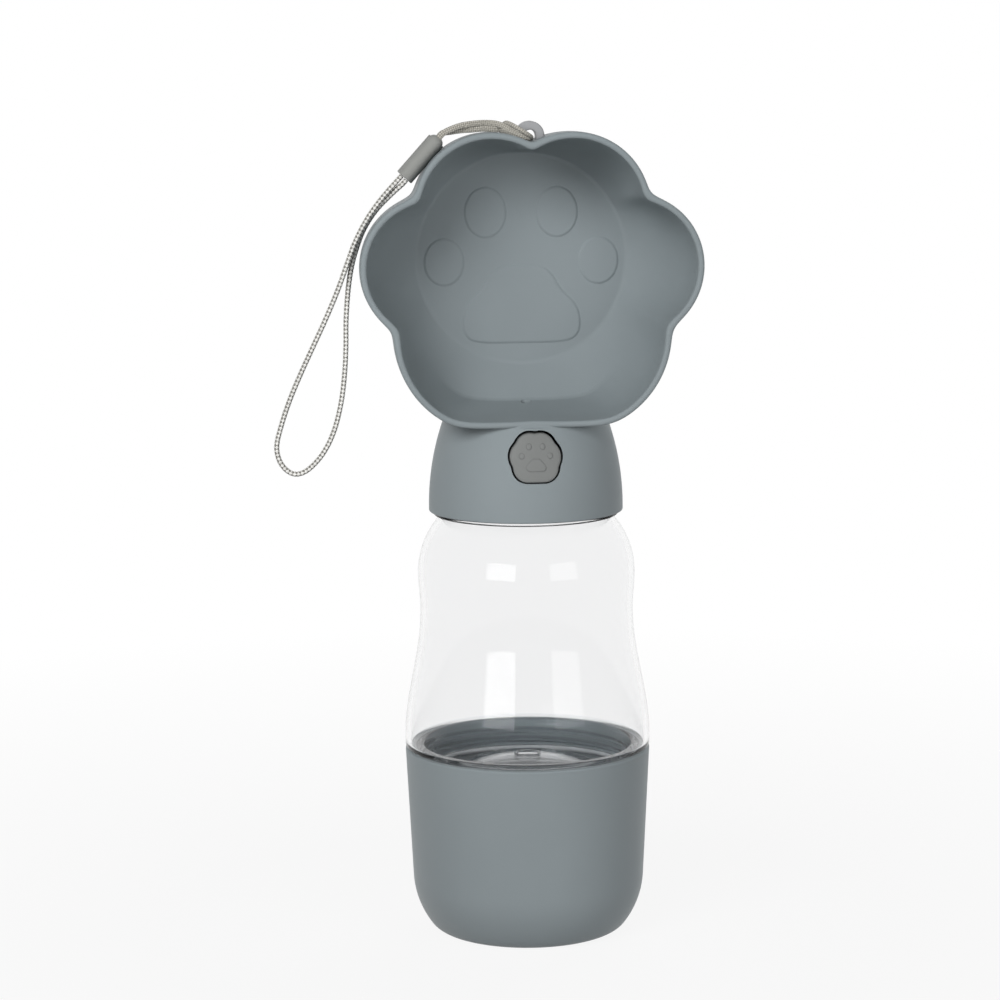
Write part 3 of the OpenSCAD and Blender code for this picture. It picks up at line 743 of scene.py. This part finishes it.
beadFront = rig.replaces(beadHalf("front"), "bead_front")
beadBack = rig.replaces(beadHalf("back"), "bead_back")
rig.cord(hitchPiece, exit=hitchPath[0], length=round(hitchLength, 3), diameter=0.0019, far_end="object",
        stiffness="limp", lay="hanging", path=hitchPath, with_pieces=hitchTurns + [beadFront, beadBack])
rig.cord(wristPiece, exit=wristPath[0], length=round(wristLength, 3), diameter=0.0017, far_end="object",
        stiffness="limp", lay="hanging", path=wristPath)
print("bead done")

cup = {
    "height": 58.3, "lip": 38.2, "taper": 2.9, "foot": 6.5, "side": 26.5, "turn": 34, "wall": 2,
    "floor": 2.2, "socket": 16, "edge": 0.7,
    "recess": 0.35,       # of the underside, inside its standing ring
    "thread": {"root": 36.3, "crest": 35.35, "z": 50.6, "lead": 3, "turns": 2.1, "width": 1.2},
}


def cupRounds(inset, up, steps):
    # the foot's small round, which runs into the large one of the side
    c = cup
    lean = math.degrees(math.atan2(c["taper"], c["height"]))
    low = -lean - c["turn"]
    sideZ = c["foot"] + (c["side"] - c["foot"]) * math.sin(math.radians(-low))
    fall = (c["height"] - sideZ) * math.sin(math.radians(lean))
    sideX = c["lip"] - (c["side"] + fall) / math.cos(math.radians(lean))
    footX = sideX + (c["side"] - c["foot"]) * math.cos(math.radians(low))
    small = arc(footX, c["foot"] + up, c["foot"] - inset, -90, low, steps)
    return footX, small + arc(sideX, sideZ + up, c["side"] - inset, low, -lean, steps)[1:]


def makeCup():
    c = cup
    high, inner, step = c["height"], c["lip"] - c["wall"], c["height"] - c["socket"]
    footX, outside = cupRounds(0, 0, 16)
    inside = cupRounds(c["wall"], c["floor"] - c["wall"], 14)[1]
    profile = [(0, c["recess"]), (footX - 4, c["recess"]), (footX - 3.4, 0)] + outside
    profile += rounded([(c["lip"] - 8 * c["taper"] / high, high - 8), (c["lip"], high, c["edge"]),
                        (inner, high, 0.45), (inner, step, 0.3), (inner - 1, step - 1, 0.4),
                        (inner - 1.1, step - 4)])[1:-1]
    profile += inside[::-1] + [(0, c["floor"])]
    return finish("foodCup", spun(profile, 160), "cup", "shell", shellGrey, sharp=40)


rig.replaces(makeCup(), "food_cup")
finish("cupThread", helix(**cup["thread"]), "cup", "shell", shellGrey, sharp=40)
print("cup done")

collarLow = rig.box("valve_collar")[0].z / mm
bottle = {
    "skirt": 34.6, "skirtLow": 44.7, "foot": 2.5, "punt": 9, "wall": 1.7, "seat": 58.6, "widest": 61.0,
    "body": 38.3, "waist": 33.1, "waistZ": 102.0, "bulge": 33.7, "bulgeZ": 113.5, "shoulder": 26.0,
    "bead": 28.6, "beadTop": collarLow - 0.3, "beadHeight": 1.0, "neck": 23.2,
    "neckTop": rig.box("bottle")[1].z / mm, "groove": (47.55, 50.25), "grooveDeep": 1.2,
    "inner": (61.2, 57.4, 50.4, 48.4),        # heights of the inner wall's corners, from the top down
    "thread": {"root": 34.5, "crest": 35.35, "z": 52.1, "lead": 3, "turns": 1.7, "width": 1.0},
    "gate": (3.3, 3.5, 4.1, 4.3),             # radii of the small ring on the dome
    "clearTo": 1.5,                           # the darker tint, painted shade, covers the base up to this far above the seat
}
neckThread = {"z": collarLow + 1.9, "lead": 8, "width": 1.5}        # the same in the neck and in the cap


def bodyOut(z):
    # the body's radius at a height
    b = bottle
    if z < b["waistZ"]:
        share = (1 + math.cos(math.pi * (z - b["widest"]) / (b["waistZ"] - b["widest"]))) / 2
        return b["waist"] + (b["body"] - b["waist"]) * share
    share = (1 - math.cos(math.pi * (z - b["waistZ"]) / (b["bulgeZ"] - b["waistZ"]))) / 2
    return b["waist"] + (b["bulge"] - b["waist"]) * share


def makeBottle():
    b = bottle
    rise = b["shoulder"]
    hub = b["bulge"] - rise
    heights = [b["widest"] + (b["bulgeZ"] - b["widest"]) * i / 40 for i in range(41)]
    body = [(bodyOut(z), z) for z in heights]
    foot, skirt, wall = b["foot"], b["skirt"], b["wall"]
    puntR = skirt - foot
    puntRound = (puntR ** 2 + b["punt"] ** 2) / (2 * b["punt"])
    puntAngle = math.degrees(math.asin(puntR / puntRound))
    puntZ = b["skirtLow"] + b["punt"] - puntRound
    beadLow = b["beadTop"] - b["beadHeight"]
    lowAngle = math.degrees(math.asin((beadLow - b["bulgeZ"]) / rise))
    ledge = math.degrees(math.asin((b["beadTop"] - b["bulgeZ"]) / rise))
    top = math.degrees(math.acos((b["neck"] + 1.2 - hub) / rise))
    outer = arc(0, puntZ, puntRound, 90, 90 - puntAngle, 26)
    outer += arc(puntR, b["skirtLow"] + foot, foot, -90, 0, 10)
    low, high = b["groove"]
    root = skirt - b["grooveDeep"]
    outer += rounded([(skirt, low - 0.3), (skirt, low, 0.15), (root, low, 0.2), (root, high, 0.2),
                      (skirt, high, 0.15), (skirt, b["seat"], 0.5), (b["body"] - 0.2, b["seat"], 0.9),
                      (b["body"], b["widest"])])[1:-1]
    outer += body
    outer += arc(hub, b["bulgeZ"], rise, 2, lowAngle, 16)
    outer += rounded([(hub + rise * math.cos(math.radians(lowAngle)), beadLow),
                      (b["bead"], beadLow + 0.15, 0.3), (b["bead"], b["beadTop"], 0.5),
                      (hub + rise * math.cos(math.radians(ledge)), b["beadTop"])])[1:-1]
    outer += arc(hub, b["bulgeZ"], rise, ledge, top, 5)
    neck, neckIn, neckTop = b["neck"], b["neck"] - wall, b["neckTop"]
    ledgeZ = b["bulgeZ"] + rise * math.sin(math.radians(top))
    outer += rounded([(neck + 1.2, ledgeZ - 0.1), (neck, ledgeZ + 0.7, 0.6), (neck, neckTop, 0.4),
                      (neckIn, neckTop, 0.3), (neckIn, ledgeZ + 2.6)])[1:-1]
    inTop = math.degrees(math.acos((neckIn - hub) / (rise - wall)))
    outer += arc(hub, b["bulgeZ"], rise - wall, inTop, 2, 20)
    outer += [(r - wall, z) for r, z in reversed(body)]
    inside = root - wall
    high, step, bend, low = b["inner"]
    outer += rounded([(b["body"] - wall, high), (b["body"] - wall - 0.05, b["seat"] + 1.1, 0.7),
                      (inside + 0.8, b["seat"] + 0.9, 0.8), (inside + 0.1, step, 0.6), (inside, bend, 1.5),
                      (inside - 2.5, low)])[1:-1]
    outer += arc(0, puntZ, puntRound + wall, 90 - puntAngle + 4, 90, 22)
    piece = finish("bottleBody", spun(outer, 160), "bottle", "clear_body", clearBody, sharp=50)
    piece.data.materials.append(clearBaseShaded)        # for the skirt and the dome: a darker tint, painted shade for the inside of the cup
    for polygon in piece.data.polygons:
        polygon.material_index = int(polygon.center.z < (b["seat"] + b["clearTo"]) * mm)
    return piece


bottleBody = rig.replaces(makeBottle(), "bottle")
skirtThread = finish("skirtThread", helix(**bottle["thread"]), "bottle", "clear_body", clearBaseShaded)


def makeGate():
    # the mark of the gate in the middle of the clear dome
    z = bottle["skirtLow"] + bottle["punt"] + bottle["wall"]
    low, inner, outer, end = bottle["gate"]
    ring = rounded([(low, z - 0.5), (inner, z + 0.3, 0.15), (outer, z + 0.3, 0.15), (end, z - 0.5)])
    return finish("gateMark", spun(ring, 64), "bottle", "clear_body", clearBaseShaded)


def twoStart(name, starts, body, slot, material, **ridge):
    # a thread of two ridges
    ridges = [helix(start=a, **ridge, **neckThread) for a in starts]
    return finish(name, joined(*ridges), body, slot, material)


gateMark = makeGate()
twoStart("neckThread", (20, 200), "bottle", "clear_body", clearBody, root=23.1, crest=24.2, turns=0.55)
print("bottle done")

collar = {
    "low": collarLow, "top": collarLow + 28.3, "radius": 30.05, "upright": 1.5, "lean": 80.0, "wall": 2.0,
    "edge": 0.35, "windowEdge": 0.15,
    "cutFrom": -40, "cutDeep": 20,        # the window's cutter in Y
}
button = {
    "z": collarLow + 19.8, "gap": 0.45, "inset": 0.18, "sag": 0.16, "back": -22.0, "columns": 144,
    "lobes": [(2.75, 0.3, 5.2), (1.61, 2.96, 4.6), (2.61, -2.96, 4.4)], "blend": 40,
    # the face: millimetres in from the outline, and out from the collar
    "face": [(0, -0.45), (0, 0.05), (0.07, 0.22), (0.22, 0.38), (0.45, 0.48), (0.75, 0.52), (1.2, 0.54),
             (2.4, 0.56), (4.0, 0.58), (5.6, 0.58)],
    "tongue": {"size": (20.6, 1.2, 5), "y": -22.6, "down": 2.7, "edge": 0.2},        # behind the collar
    "toes": [(4.3, 0.75, 0.72, 0.8), (2.05, 3.5, 0.72, 0.84)],
    "pad": [(0, -0.15), (1.05, -0.2), (1.6, -0.75), (2.8, -2.2), (3.0, -2.9), (2.6, -3.6),
            (1.8, -3.85), (0, -3.8)],
    "pawOut": 0.57,       # the raised paw's foot, out from the collar
    # how far out from the outline, and how high, the raised paw's edge runs
    "relief": [(-0.3, -0.3), (0.2, -0.05), (0.14, 0.04), (0.07, 0.13), (-0.02, 0.22), (-0.12, 0.28),
               (-0.26, 0.31), (-0.4, 0.32)],
}


def collarOut(z):
    # the collar's radius at a height
    c = collar
    rise = max(0, z - c["low"] - c["upright"])
    return c["radius"] - c["lean"] + math.sqrt(c["lean"] ** 2 - rise ** 2)


def reach(a, x, z, r):
    # from the middle to the far side of a lobe, in direction a
    along = x * math.cos(a) + z * math.sin(a)
    q = along * along - x * x - z * z + r * r
    return max(0.1, along + math.sqrt(q)) if q > 0 else 0.1


def lobed(a, lobes, blend):
    # the farthest lobes, blended where two meet
    far = sorted((reach(a, *lobe) for lobe in lobes), reverse=True)
    first = far[0]
    second = next(v for v in far if v < first - 1e-9)
    return (first ** blend + second ** blend) ** (1 / blend)


def buttonReach(a, grow):
    # the outline in direction a, flat below
    lobes = [(side * x, z, r + grow) for x, z, r in button["lobes"] for side in (-1, 1)]
    r = lobed(a, lobes, button["blend"])
    x, z, low = button["lobes"][-1]
    if math.sin(a) < -0.3:
        flat = (low - z + grow) / -math.sin(a)
        if abs(flat * math.cos(a)) < x:
            r = max(r, flat)
    return r


def makeCollar():
    c = collar
    heights = [c["low"] + 1.2 + (c["top"] - c["low"] - 1.2) * i / 44 for i in range(45)]
    wall = c["wall"]
    profile = rounded([(c["radius"] - wall, c["low"] + 1), (c["radius"] - wall, c["low"], 0.3),
                       (c["radius"], c["low"], c["edge"]), (c["radius"], c["low"] + 1.1)])
    profile += [(collarOut(z), z) for z in heights]
    profile += [(collarOut(z) - wall, z) for z in reversed(heights)]
    piece = finish("collarShell", spun(profile, 360), "head", "shell", shellGrey, sharp=40)
    hole = bmesh.new()
    rim = [(buttonReach(a, button["gap"]), a) for a in around(button["columns"], 0.5)]
    face = hole.faces.new([hole.verts.new((r * math.cos(a) * mm, c["cutFrom"] * mm,
                                           (button["z"] + r * math.sin(a)) * mm)) for r, a in rim])
    pulled(hole, face, (0, c["cutDeep"] * mm, 0))
    cut(piece, hole)
    bm = bmesh.new()
    bm.from_mesh(piece.data)
    edges = []
    for e in bm.edges:
        # the window's outer edge
        middle = (e.verts[0].co + e.verts[1].co) / 2
        out = math.hypot(middle.x, middle.z - button["z"] * mm) / mm
        if middle.y < 0 and out < 10 and len(e.link_faces) == 2 and e.calc_face_angle(0) > 0.8:
            if middle.xy.length / mm > collarOut(middle.z / mm) - 0.5:
                edges.append(e)
    bevelled(bm, edges, c["windowEdge"] * mm, 3, clamp=True)
    bm.to_mesh(piece.data)
    bm.free()
    smoothed(piece.data, 38)
    return piece


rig.replaces(makeCollar(), "valve_collar")
print("collar done")


def onCollar(x, z, out):
    # the y of a point that stands out from the collar's face
    return -math.sqrt(max(1, (collarOut(button["z"] + z) + out) ** 2 - x * x))


def makeButton():
    b = button
    rings = []
    for inset, out in [(0, None)] + b["face"]:
        places = []
        for a in around(b["columns"], 0.5):
            r = max(0.2, buttonReach(a, -b["inset"]) - inset)
            x, z = r * math.cos(a), r * math.sin(a) - b["sag"]
            y = b["back"] if out is None else onCollar(x, z, out)
            places.append(Vector((x, y, b["z"] + z)) * mm)
        rings.append(places)
    tongue = bmesh.new()
    t = b["tongue"]
    bmesh.ops.create_cube(tongue, size=1)
    bmesh.ops.scale(tongue, verts=tongue.verts, vec=Vector(t["size"]) * mm)
    bevelled(tongue, tongue.edges[:], t["edge"] * mm, 2)
    bmesh.ops.translate(tongue, verts=tongue.verts, vec=(0, t["y"] * mm, (b["z"] - t["down"]) * mm))
    return finish("pushButton", joined(lofted(rings), tongue), "button", "button", buttonGrey, sharp=40)


def smoothLoop(points, times=2):
    # rounds the corners of a closed outline
    for _ in range(times):
        out = []
        for i, p in enumerate(points):
            q = points[(i + 1) % len(points)]
            out += [(p[0] * 0.75 + q[0] * 0.25, p[1] * 0.75 + q[1] * 0.25),
                    (p[0] * 0.25 + q[0] * 0.75, p[1] * 0.25 + q[1] * 0.75)]
        points = out
    return points


def oval(x, z, rx, rz):
    return [(x + rx * math.cos(a), z + rz * math.sin(a)) for a in around(40)]


def pawOutlines(parts, times):
    # four toes, and a pad from its right half
    half = parts["pad"]
    pad = [p for p in half if p[0] == 0][-1:] + [(x, z) for x, z in half[::-1] if x > 0] + [half[0]]
    pad += [(-x, z) for x, z in half if x > 0]
    toes = [oval(side * x, z, rx, rz) for x, z, rx, rz in parts["toes"] for side in (-1, 1)]
    return toes + [smoothLoop(pad, times)]


def reliefOn(outline, levels, placed):
    # a low raised form with a soft edge, on the surface that placed() gives
    rings = []
    n = len(outline)
    for outset, high in levels:
        places = []
        for i, (x, z) in enumerate(outline):
            dx = outline[(i + 1) % n][0] - outline[i - 1][0]
            dz = outline[(i + 1) % n][1] - outline[i - 1][1]
            long = math.hypot(dx, dz)
            places.append(placed(x + dz / long * outset, z - dx / long * outset, high))
        rings.append(places)
    return lofted(rings)


def makeButtonPaw():
    def placed(x, z, high):
        z -= button["sag"]
        return Vector((x, onCollar(x, z, button["pawOut"] + high), button["z"] + z)) * mm

    parts = [reliefOn(outline, button["relief"], placed) for outline in pawOutlines(button, 2)]
    return finish("buttonPaw", joined(*parts), "button", "button", buttonGrey, sharp=60)


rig.replaces(makeButton(), "button")
makeButtonPaw()

spring = {"radius": 3.1, "wire": 0.35, "turns": 5, "from": -21.6, "rise": 6.2, "endPitch": 0.75,
          "stepsPerTurn": 32}


def makeSpring():
    # a coil with closed end turns, between the button and the barrel
    g = spring
    pitch = (g["rise"] - g["endPitch"]) / (g["turns"] - 1)
    steps = g["stepsPerTurn"]
    path, y = [], g["from"]
    for i in range(steps * g["turns"] + 1):
        turn = i / steps
        a = 2 * math.pi * turn
        path.append(Vector((g["radius"] * math.cos(a), y, button["z"] + g["radius"] * math.sin(a))) * mm)
        y += (g["endPitch"] if turn < 0.5 or turn >= g["turns"] - 0.5 else pitch) / steps
    bm, rings, _ = sweep(path, lambda a, far: (g["wire"] * mm, g["wire"] * mm), 12)
    for ring, _ in (rings[0], rings[-1]):
        closeRing(bm, ring)
    return finish("returnSpring", bm, "head", "steel", steelWire, sharp=60)


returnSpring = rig.replaces(makeSpring(), "return_spring")
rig.squash(returnSpring, "button_press", axis=(0, 1, 0), anchor=(0, -0.015, button["z"] * mm), keep=0.643)
print("button done")

bowl = {
    "width": 104.0, "sideR": 22.1, "sideUp": -0.7, "topR": 23.5, "topX": 12.3, "topUp": 16.4, "lowR": 29.7,
    "lowX": 12.3, "lowCut": 1.6, "under": 49.0, "floorR": 32.6, "rim": -25.0, "floorY": 8.0,
    "floorZ": collar["top"] + 49, "wall": 2.0, "lip": 0.85, "blend": 40, "columns": 288,
    "deepPulls": (0.5, 0.82),         # of the wall's curve from the rim, 0, to the floor, 1
    "inPulls": (0.03, 0.42),
    "crease": (0.6, 0.72, 0.21),      # over the flat underside: share of the way, of the depth, of the way in
    "firm": 0.75,                     # how far the wall goes over to that crease
    "firmWidth": (44, 26),            # degrees from straight down: where it starts, and what it takes
    "straighter": 0.4,                # the outside runs straight back for longer, but not at the crease
    "floorEdge": 0.7,
    "middleMore": 1.6,                # the middle low lobe is larger than the two beside it
    "outlet": {"y": -3.0, "radius": 1.65, "up": 4.3, "deep": 12}, "footHigh": 15.0,
    "toes": [(24.0, -1.0, 6.0, 7.1), (11.1, 14.2, 6.3, 7.6)],
    "pad": [(0, -2.5), (6, -2.5), (9.5, -5), (12, -10), (17, -14.5), (18.3, -19.5), (17.8, -23.5),
            (14.5, -26.1), (0, -26.1)],
    "relief": [(-0.6, -0.4), (0.5, -0.04), (0.35, 0.02), (0.17, 0.1), (0, 0.2), (-0.16, 0.3), (-0.34, 0.35),
               (-0.65, 0.37)],
}


def rimReach(a, grow=0.0):
    # the outline, a little eased round each notch: a mean of five directions, with their weights
    share = {-2.5: 1, -1.25: 2, 0: 3, 1.25: 2, 2.5: 1}
    total = sum(k * rawReach(a + math.radians(off), grow) for off, k in share.items())
    return total / sum(share.values())


def rawReach(a, grow):
    # seven lobes, and the flat underside
    b = bowl
    sideX = b["width"] / 2 - b["sideR"]
    lowUp = b["lowR"] - b["under"] - b["lowCut"]
    middle = b["lowR"] + b["middleMore"]
    lobes = [(s * sideX, b["sideUp"], b["sideR"] + grow) for s in (-1, 1)]
    lobes += [(s * b["topX"], b["topUp"], b["topR"] + grow) for s in (-1, 1)]
    lobes += [(s * b["lowX"], lowUp, b["lowR"] + grow) for s in (-1, 1)]
    lobes += [(0, middle - b["under"], middle + grow)]
    r = lobed(a, lobes, b["blend"])
    if math.sin(a) < -0.3:
        flat = (b["under"] + grow) / -math.sin(a)
        r = (r ** -60 + flat ** -60) ** (-1 / 60)
    return r


def wallTurn(t, a):
    # share of the depth and of the way in, and how firm the crease above the flat underside is
    b = bowl
    q = 1 - t
    deep, inward = (3 * q * q * t * one + 3 * q * t * t * two + t ** 3
                    for one, two in (b["deepPulls"], b["inPulls"]))
    start, width = b["firmWidth"]
    firm = min(1, max(0, (start - abs(math.degrees(a) % 360 - 270)) / width))
    firm = b["firm"] * firm * firm * (3 - 2 * firm)
    at, creaseDeep, creaseIn = b["crease"]
    if t < at:
        creaseDeep, creaseIn = creaseDeep * t / at, creaseIn * t / at
    else:
        rest = (t - at) / (1 - at)
        creaseDeep, creaseIn = creaseDeep + (1 - creaseDeep) * rest, creaseIn + (1 - creaseIn) * rest
    return deep + (creaseDeep - deep) * firm, inward + (creaseIn - inward) * firm, firm


def bowlRings(outside):
    # rings as (y, radius for each column), from the rim back to the floor
    b = bowl
    grow = 0.0 if outside else -b["wall"]
    end = b["floorR"] + (b["wall"] if outside else 0)
    back = b["floorY"] + (b["wall"] if outside else 0)
    front = b["rim"] + b["lip"]
    out = []
    for i in range(31):
        ys, rs = [], []
        for a in around(b["columns"]):
            deep, inward, firm = wallTurn(i / 30, a)
            if outside:
                inward **= 1 + b["straighter"] * (1 - firm)
            ys.append(front + (back - front) * deep)
            rs.append(rimReach(a, grow) * (1 - inward) + end * inward)
        out.append((ys, rs))
    return out


def onFloor(ys, rs):
    # a ring's places from its depth and its radius in each direction
    return [Vector((r * math.cos(a), y, bowl["floorZ"] + r * math.sin(a))) * mm
            for a, y, r in zip(around(len(rs)), ys, rs)]


def makeBowl():
    b = bowl
    n = b["columns"]
    backY = b["floorY"] + b["wall"]
    grows = [rimReach(a) for a in around(n)]
    inner = [rimReach(a, -b["wall"]) for a in around(n)]
    rings = [([backY] * n, [r] * n) for r in (0.5, 10, 20, 28, 32)] + bowlRings(True)[::-1]
    for k in range(1, 8):
        # round the lip from the outside to the inside
        turn = math.pi * k / 8
        share = (1 - math.cos(turn)) / 2
        rs = [g + (i - g) * share for g, i in zip(grows, inner)]
        rings.append(([b["rim"] + b["lip"] * (1 - math.sin(turn))] * n, rs))
    rings += bowlRings(False) + [([b["floorY"]] * n, [r] * n) for r in (31.6, 28, 20, 10, 0.5)]
    bm = lofted([onFloor(ys, rs) for ys, rs in rings])
    # where the wall meets the floor, inside
    creases = [e for e in bm.edges if len(e.link_faces) == 2 and e.calc_face_angle(0) > 0.28
               and abs(e.verts[0].co.y - e.verts[1].co.y) < 1e-6
               and abs(e.verts[0].co.y / mm - b["floorY"]) < 0.01
               and math.hypot(e.verts[0].co.x, e.verts[0].co.z - b["floorZ"] * mm) / mm > 32]
    bevelled(bm, creases, b["floorEdge"] * mm, 3)
    piece = finish("bowlShell", bm, "head", "shell", shellGrey, sharp=42)
    drill = bmesh.new()
    g = b["outlet"]
    r = g["radius"] * mm
    bmesh.ops.create_cone(drill, segments=48, radius1=r, radius2=r, depth=g["deep"] * mm, cap_ends=True)
    bmesh.ops.translate(drill, verts=drill.verts, vec=(0, g["y"] * mm, (collar["top"] + g["up"]) * mm))
    cut(piece, drill)
    smoothed(piece.data, 42)
    return piece


def solidBowl(grow):
    # the bowl's bulk as a closed block, to trim the foot with
    b = bowl
    columns = around(144)
    back = b["floorY"] + b["wall"] + grow
    end = b["floorR"] + b["wall"] + grow
    rings = [onFloor([b["rim"] - 3] * len(columns), [rimReach(a, grow) for a in columns])]
    for i in range(13):
        ys, rs = [], []
        for a in columns:
            deep, inward, _ = wallTurn(i / 12, a)
            ys.append(b["rim"] + (back - b["rim"]) * deep)
            rs.append(rimReach(a, grow) * (1 - inward) + end * inward)
        rings.append(onFloor(ys, rs))
    return lofted(rings)


def makeFoot():
    # the round foot that closes the collar behind the bowl
    seam, wall, high = collar["top"], collar["wall"], bowl["footHigh"]
    out = collarOut(seam)
    turns = [math.pi / 2 * k / 14 for k in range(1, 15)]
    profile = [(out - wall, seam), (out, seam)]
    profile += [(out * math.cos(a), seam + high * math.sin(a)) for a in turns]
    profile += [((out - wall) * math.cos(a), seam + (high - wall) * math.sin(a)) for a in turns[::-1]]
    bm = spun(profile + [(out - wall, seam)], 160)
    halved(bm, bowl["rim"] * mm, -1)
    piece = finish("bowlFoot", bm, "head", "shell", shellGrey, sharp=40)
    cut(piece, solidBowl(-1.0))
    smoothed(piece.data, 40)
    return piece


def makeFigure():
    # the raised paw on the floor
    def placed(x, z, high):
        return Vector((x, bowl["floorY"] - high, bowl["floorZ"] + z)) * mm

    parts = [reliefOn(outline, bowl["relief"], placed) for outline in pawOutlines(bowl, 3)]
    return finish("bowlPaw", joined(*parts), "head", "shell", shellGrey, sharp=70)


lug = {"y": -16.25, "z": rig.box("drinking_bowl")[1].z / mm - 3.4, "outer": 4.35, "hole": 1.75,
       "thick": 4.5, "edge": 0.55, "leg": 1.9}


def makeLug():
    # an arch whose two legs go down into the rim
    g = lug
    bm = bmesh.new()
    half = g["thick"] / 2
    section = [(g["hole"], -half), (g["outer"], -half), (g["outer"], half), (g["hole"], half)]
    face = bm.faces.new([bm.verts.new((r * mm, (g["y"] + y) * mm, g["z"] * mm)) for r, y in section])
    # the section turns over the hole, then both its ends go down
    bmesh.ops.spin(bm, geom=[face], cent=(0, g["y"] * mm, g["z"] * mm), axis=(0, -1, 0), angle=math.pi,
                   steps=24)
    ends = [f for f in bm.faces if all(abs(v.co.z - g["z"] * mm) < 1e-6 for v in f.verts)]
    for end in ends:
        pulled(bm, end, (0, 0, -g["leg"] * mm))
    bmesh.ops.delete(bm, geom=ends, context="FACES")
    bmesh.ops.recalc_face_normals(bm, faces=bm.faces)
    long = [e for e in bm.edges if len(e.link_faces) == 2 and e.calc_face_angle(0) > 1.2]
    bevelled(bm, long, g["edge"] * mm, 4)
    return finish("bowlLug", bm, "head", "shell", lugLitShell, sharp=50)


boss = {"bore": 1.65, "radius": 3.8, "low": collar["top"] - 0.7, "high": collar["top"] + 1.6}


def makeBoss():
    # the short tube under the outlet
    g = boss
    corners = [(g["bore"], g["low"]), (g["radius"], g["low"]), (g["radius"], g["high"]),
               (g["bore"], g["high"]), (g["bore"], g["low"])]
    bm = spun(corners, 64)
    bmesh.ops.translate(bm, verts=bm.verts, vec=(0, bowl["outlet"]["y"] * mm, 0))
    return finish("bowlBoss", bm, "head", "shell", shellGrey)


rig.replaces(makeBowl(), "drinking_bowl")
makeFoot()
makeFigure()
makeLug()
makeBoss()
print("bowl done")

# the inner pieces keep their solids
twoStart("capThread", (110, 290), "head", "inner_white", innerWhite, root=25.0, crest=23.85, turns=0.5)
finishes = {
    innerWhite: ("threaded_cap", "valve_barrel", "barrel_plug", "plunger"),
    sealRubber: ("cup_gasket", "neck_gasket", "plug_o_ring", "inlet_gasket", "outlet_gasket", "stem_o_ring",
                 "seat_washer"),
    steelWire: ("valve_screws", "plunger_clip"),
}
for material, names in finishes.items():
    for name in names:
        for part in nodes[name].material_slots:
            part.material = material
print("inner pieces painted")

studio = {
    "world": 0.04,
    "floor": (0.42, 0.42, 0.42, 1),
    "floorSize": 6,
    "shadow": ((0.12, 0.9), (0.5, 1)),        # how white the floor is, by metres from the bottle
    "lamps": [
        # name, place, aim, width, height, power; False: it shines on the clear body only, and is seen in it
        ("left box", (-0.66, -0.99, 0.36), (0, 0, 0.12), 0.66, 0.48, 7.4, False),
        ("right box", (0.68, -1.0, 0.35), (0, 0, 0.12), 0.66, 0.48, 3.8, False),
        ("key", (-0.633, -0.904, 0.757), (0, 0, 0.17), 0.7, 0.45, 12.2, True),
        ("left fill", (-0.71, -1.014, 0.344), (0, 0, 0.17), 0.7, 0.45, 2.4, True),
        ("right fill", (0.71, -1.014, 0.344), (0, 0, 0.17), 0.7, 0.45, 5.8, True),
        ("behind", (0.5, 1.05, 0.5), (0, 0, 0.15), 0.9, 0.6, 10.0, True),
    ],
}


def makeFloor():
    s = Shader("pale floor")
    spots = s.noise(s.place(), 3, 2)
    base = s.mix(spots, studio["floor"], darker(studio["floor"], 1.04))
    matte = s.surface(Base_Color=base, Roughness=0.8)
    plain = s.node("ShaderNodeEmission", {}, {"Color": (1, 1, 1, 1), "Strength": 1.0})
    where = s.node("ShaderNodeTexCoord", out="Object")
    far = s.node("ShaderNodeVectorMath", {"operation": "LENGTH"}, {0: where}, out="Value")
    share = s.backdrop(s.ramp(far, *studio["shadow"]))
    material = s.done(s.node("ShaderNodeMixShader", {}, {0: share, 1: matte, 2: plain}))
    bm = bmesh.new()
    bmesh.ops.create_grid(bm, x_segments=8, y_segments=8, size=studio["floorSize"])
    floor = linked("floor", meshOf("floor", bm))
    floor.data.materials.append(material)
    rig.stage(floor)


def makeLight():
    s = Shader("studio", bpy.data.worlds)
    level = s.node("ShaderNodeMapRange", {}, {
        "Value": s.backdrop(), "To Min": studio["world"], "To Max": 1.0})
    back = s.node("ShaderNodeBackground", {}, {"Color": (1, 1, 1, 1), "Strength": level})
    bpy.context.scene.world = s.done(back, "ShaderNodeOutputWorld")
    clearPieces = bpy.data.collections.new("clear pieces")
    for piece in (bottleBody, skirtThread, gateMark):
        clearPieces.objects.link(piece)
    for name, place, aim, width, height, power, lights in studio["lamps"]:
        data = bpy.data.lights.new(name, "AREA")
        data.shape = "RECTANGLE"
        data.size = width
        data.size_y = height
        data.energy = power
        lamp = linked(name, data)
        toward = (Vector(aim) - Vector(place)).to_track_quat("-Z", "Y")
        lamp.visible_glossy = not lights
        lamp.visible_transmission = not lights
        if not lights:
            lamp.light_linking.receiver_collection = clearPieces
        lamp.matrix_world = Matrix.Translation(place) @ toward.to_matrix().to_4x4()


makeFloor()
makeLight()
bpy.context.scene.view_settings.view_transform = "Standard"
print("studio ready")

with open("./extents.json", "w") as out:
    json.dump({"cad": [list(c) for c in cadBox], "visual": [list(c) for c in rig.bounds()]}, out)
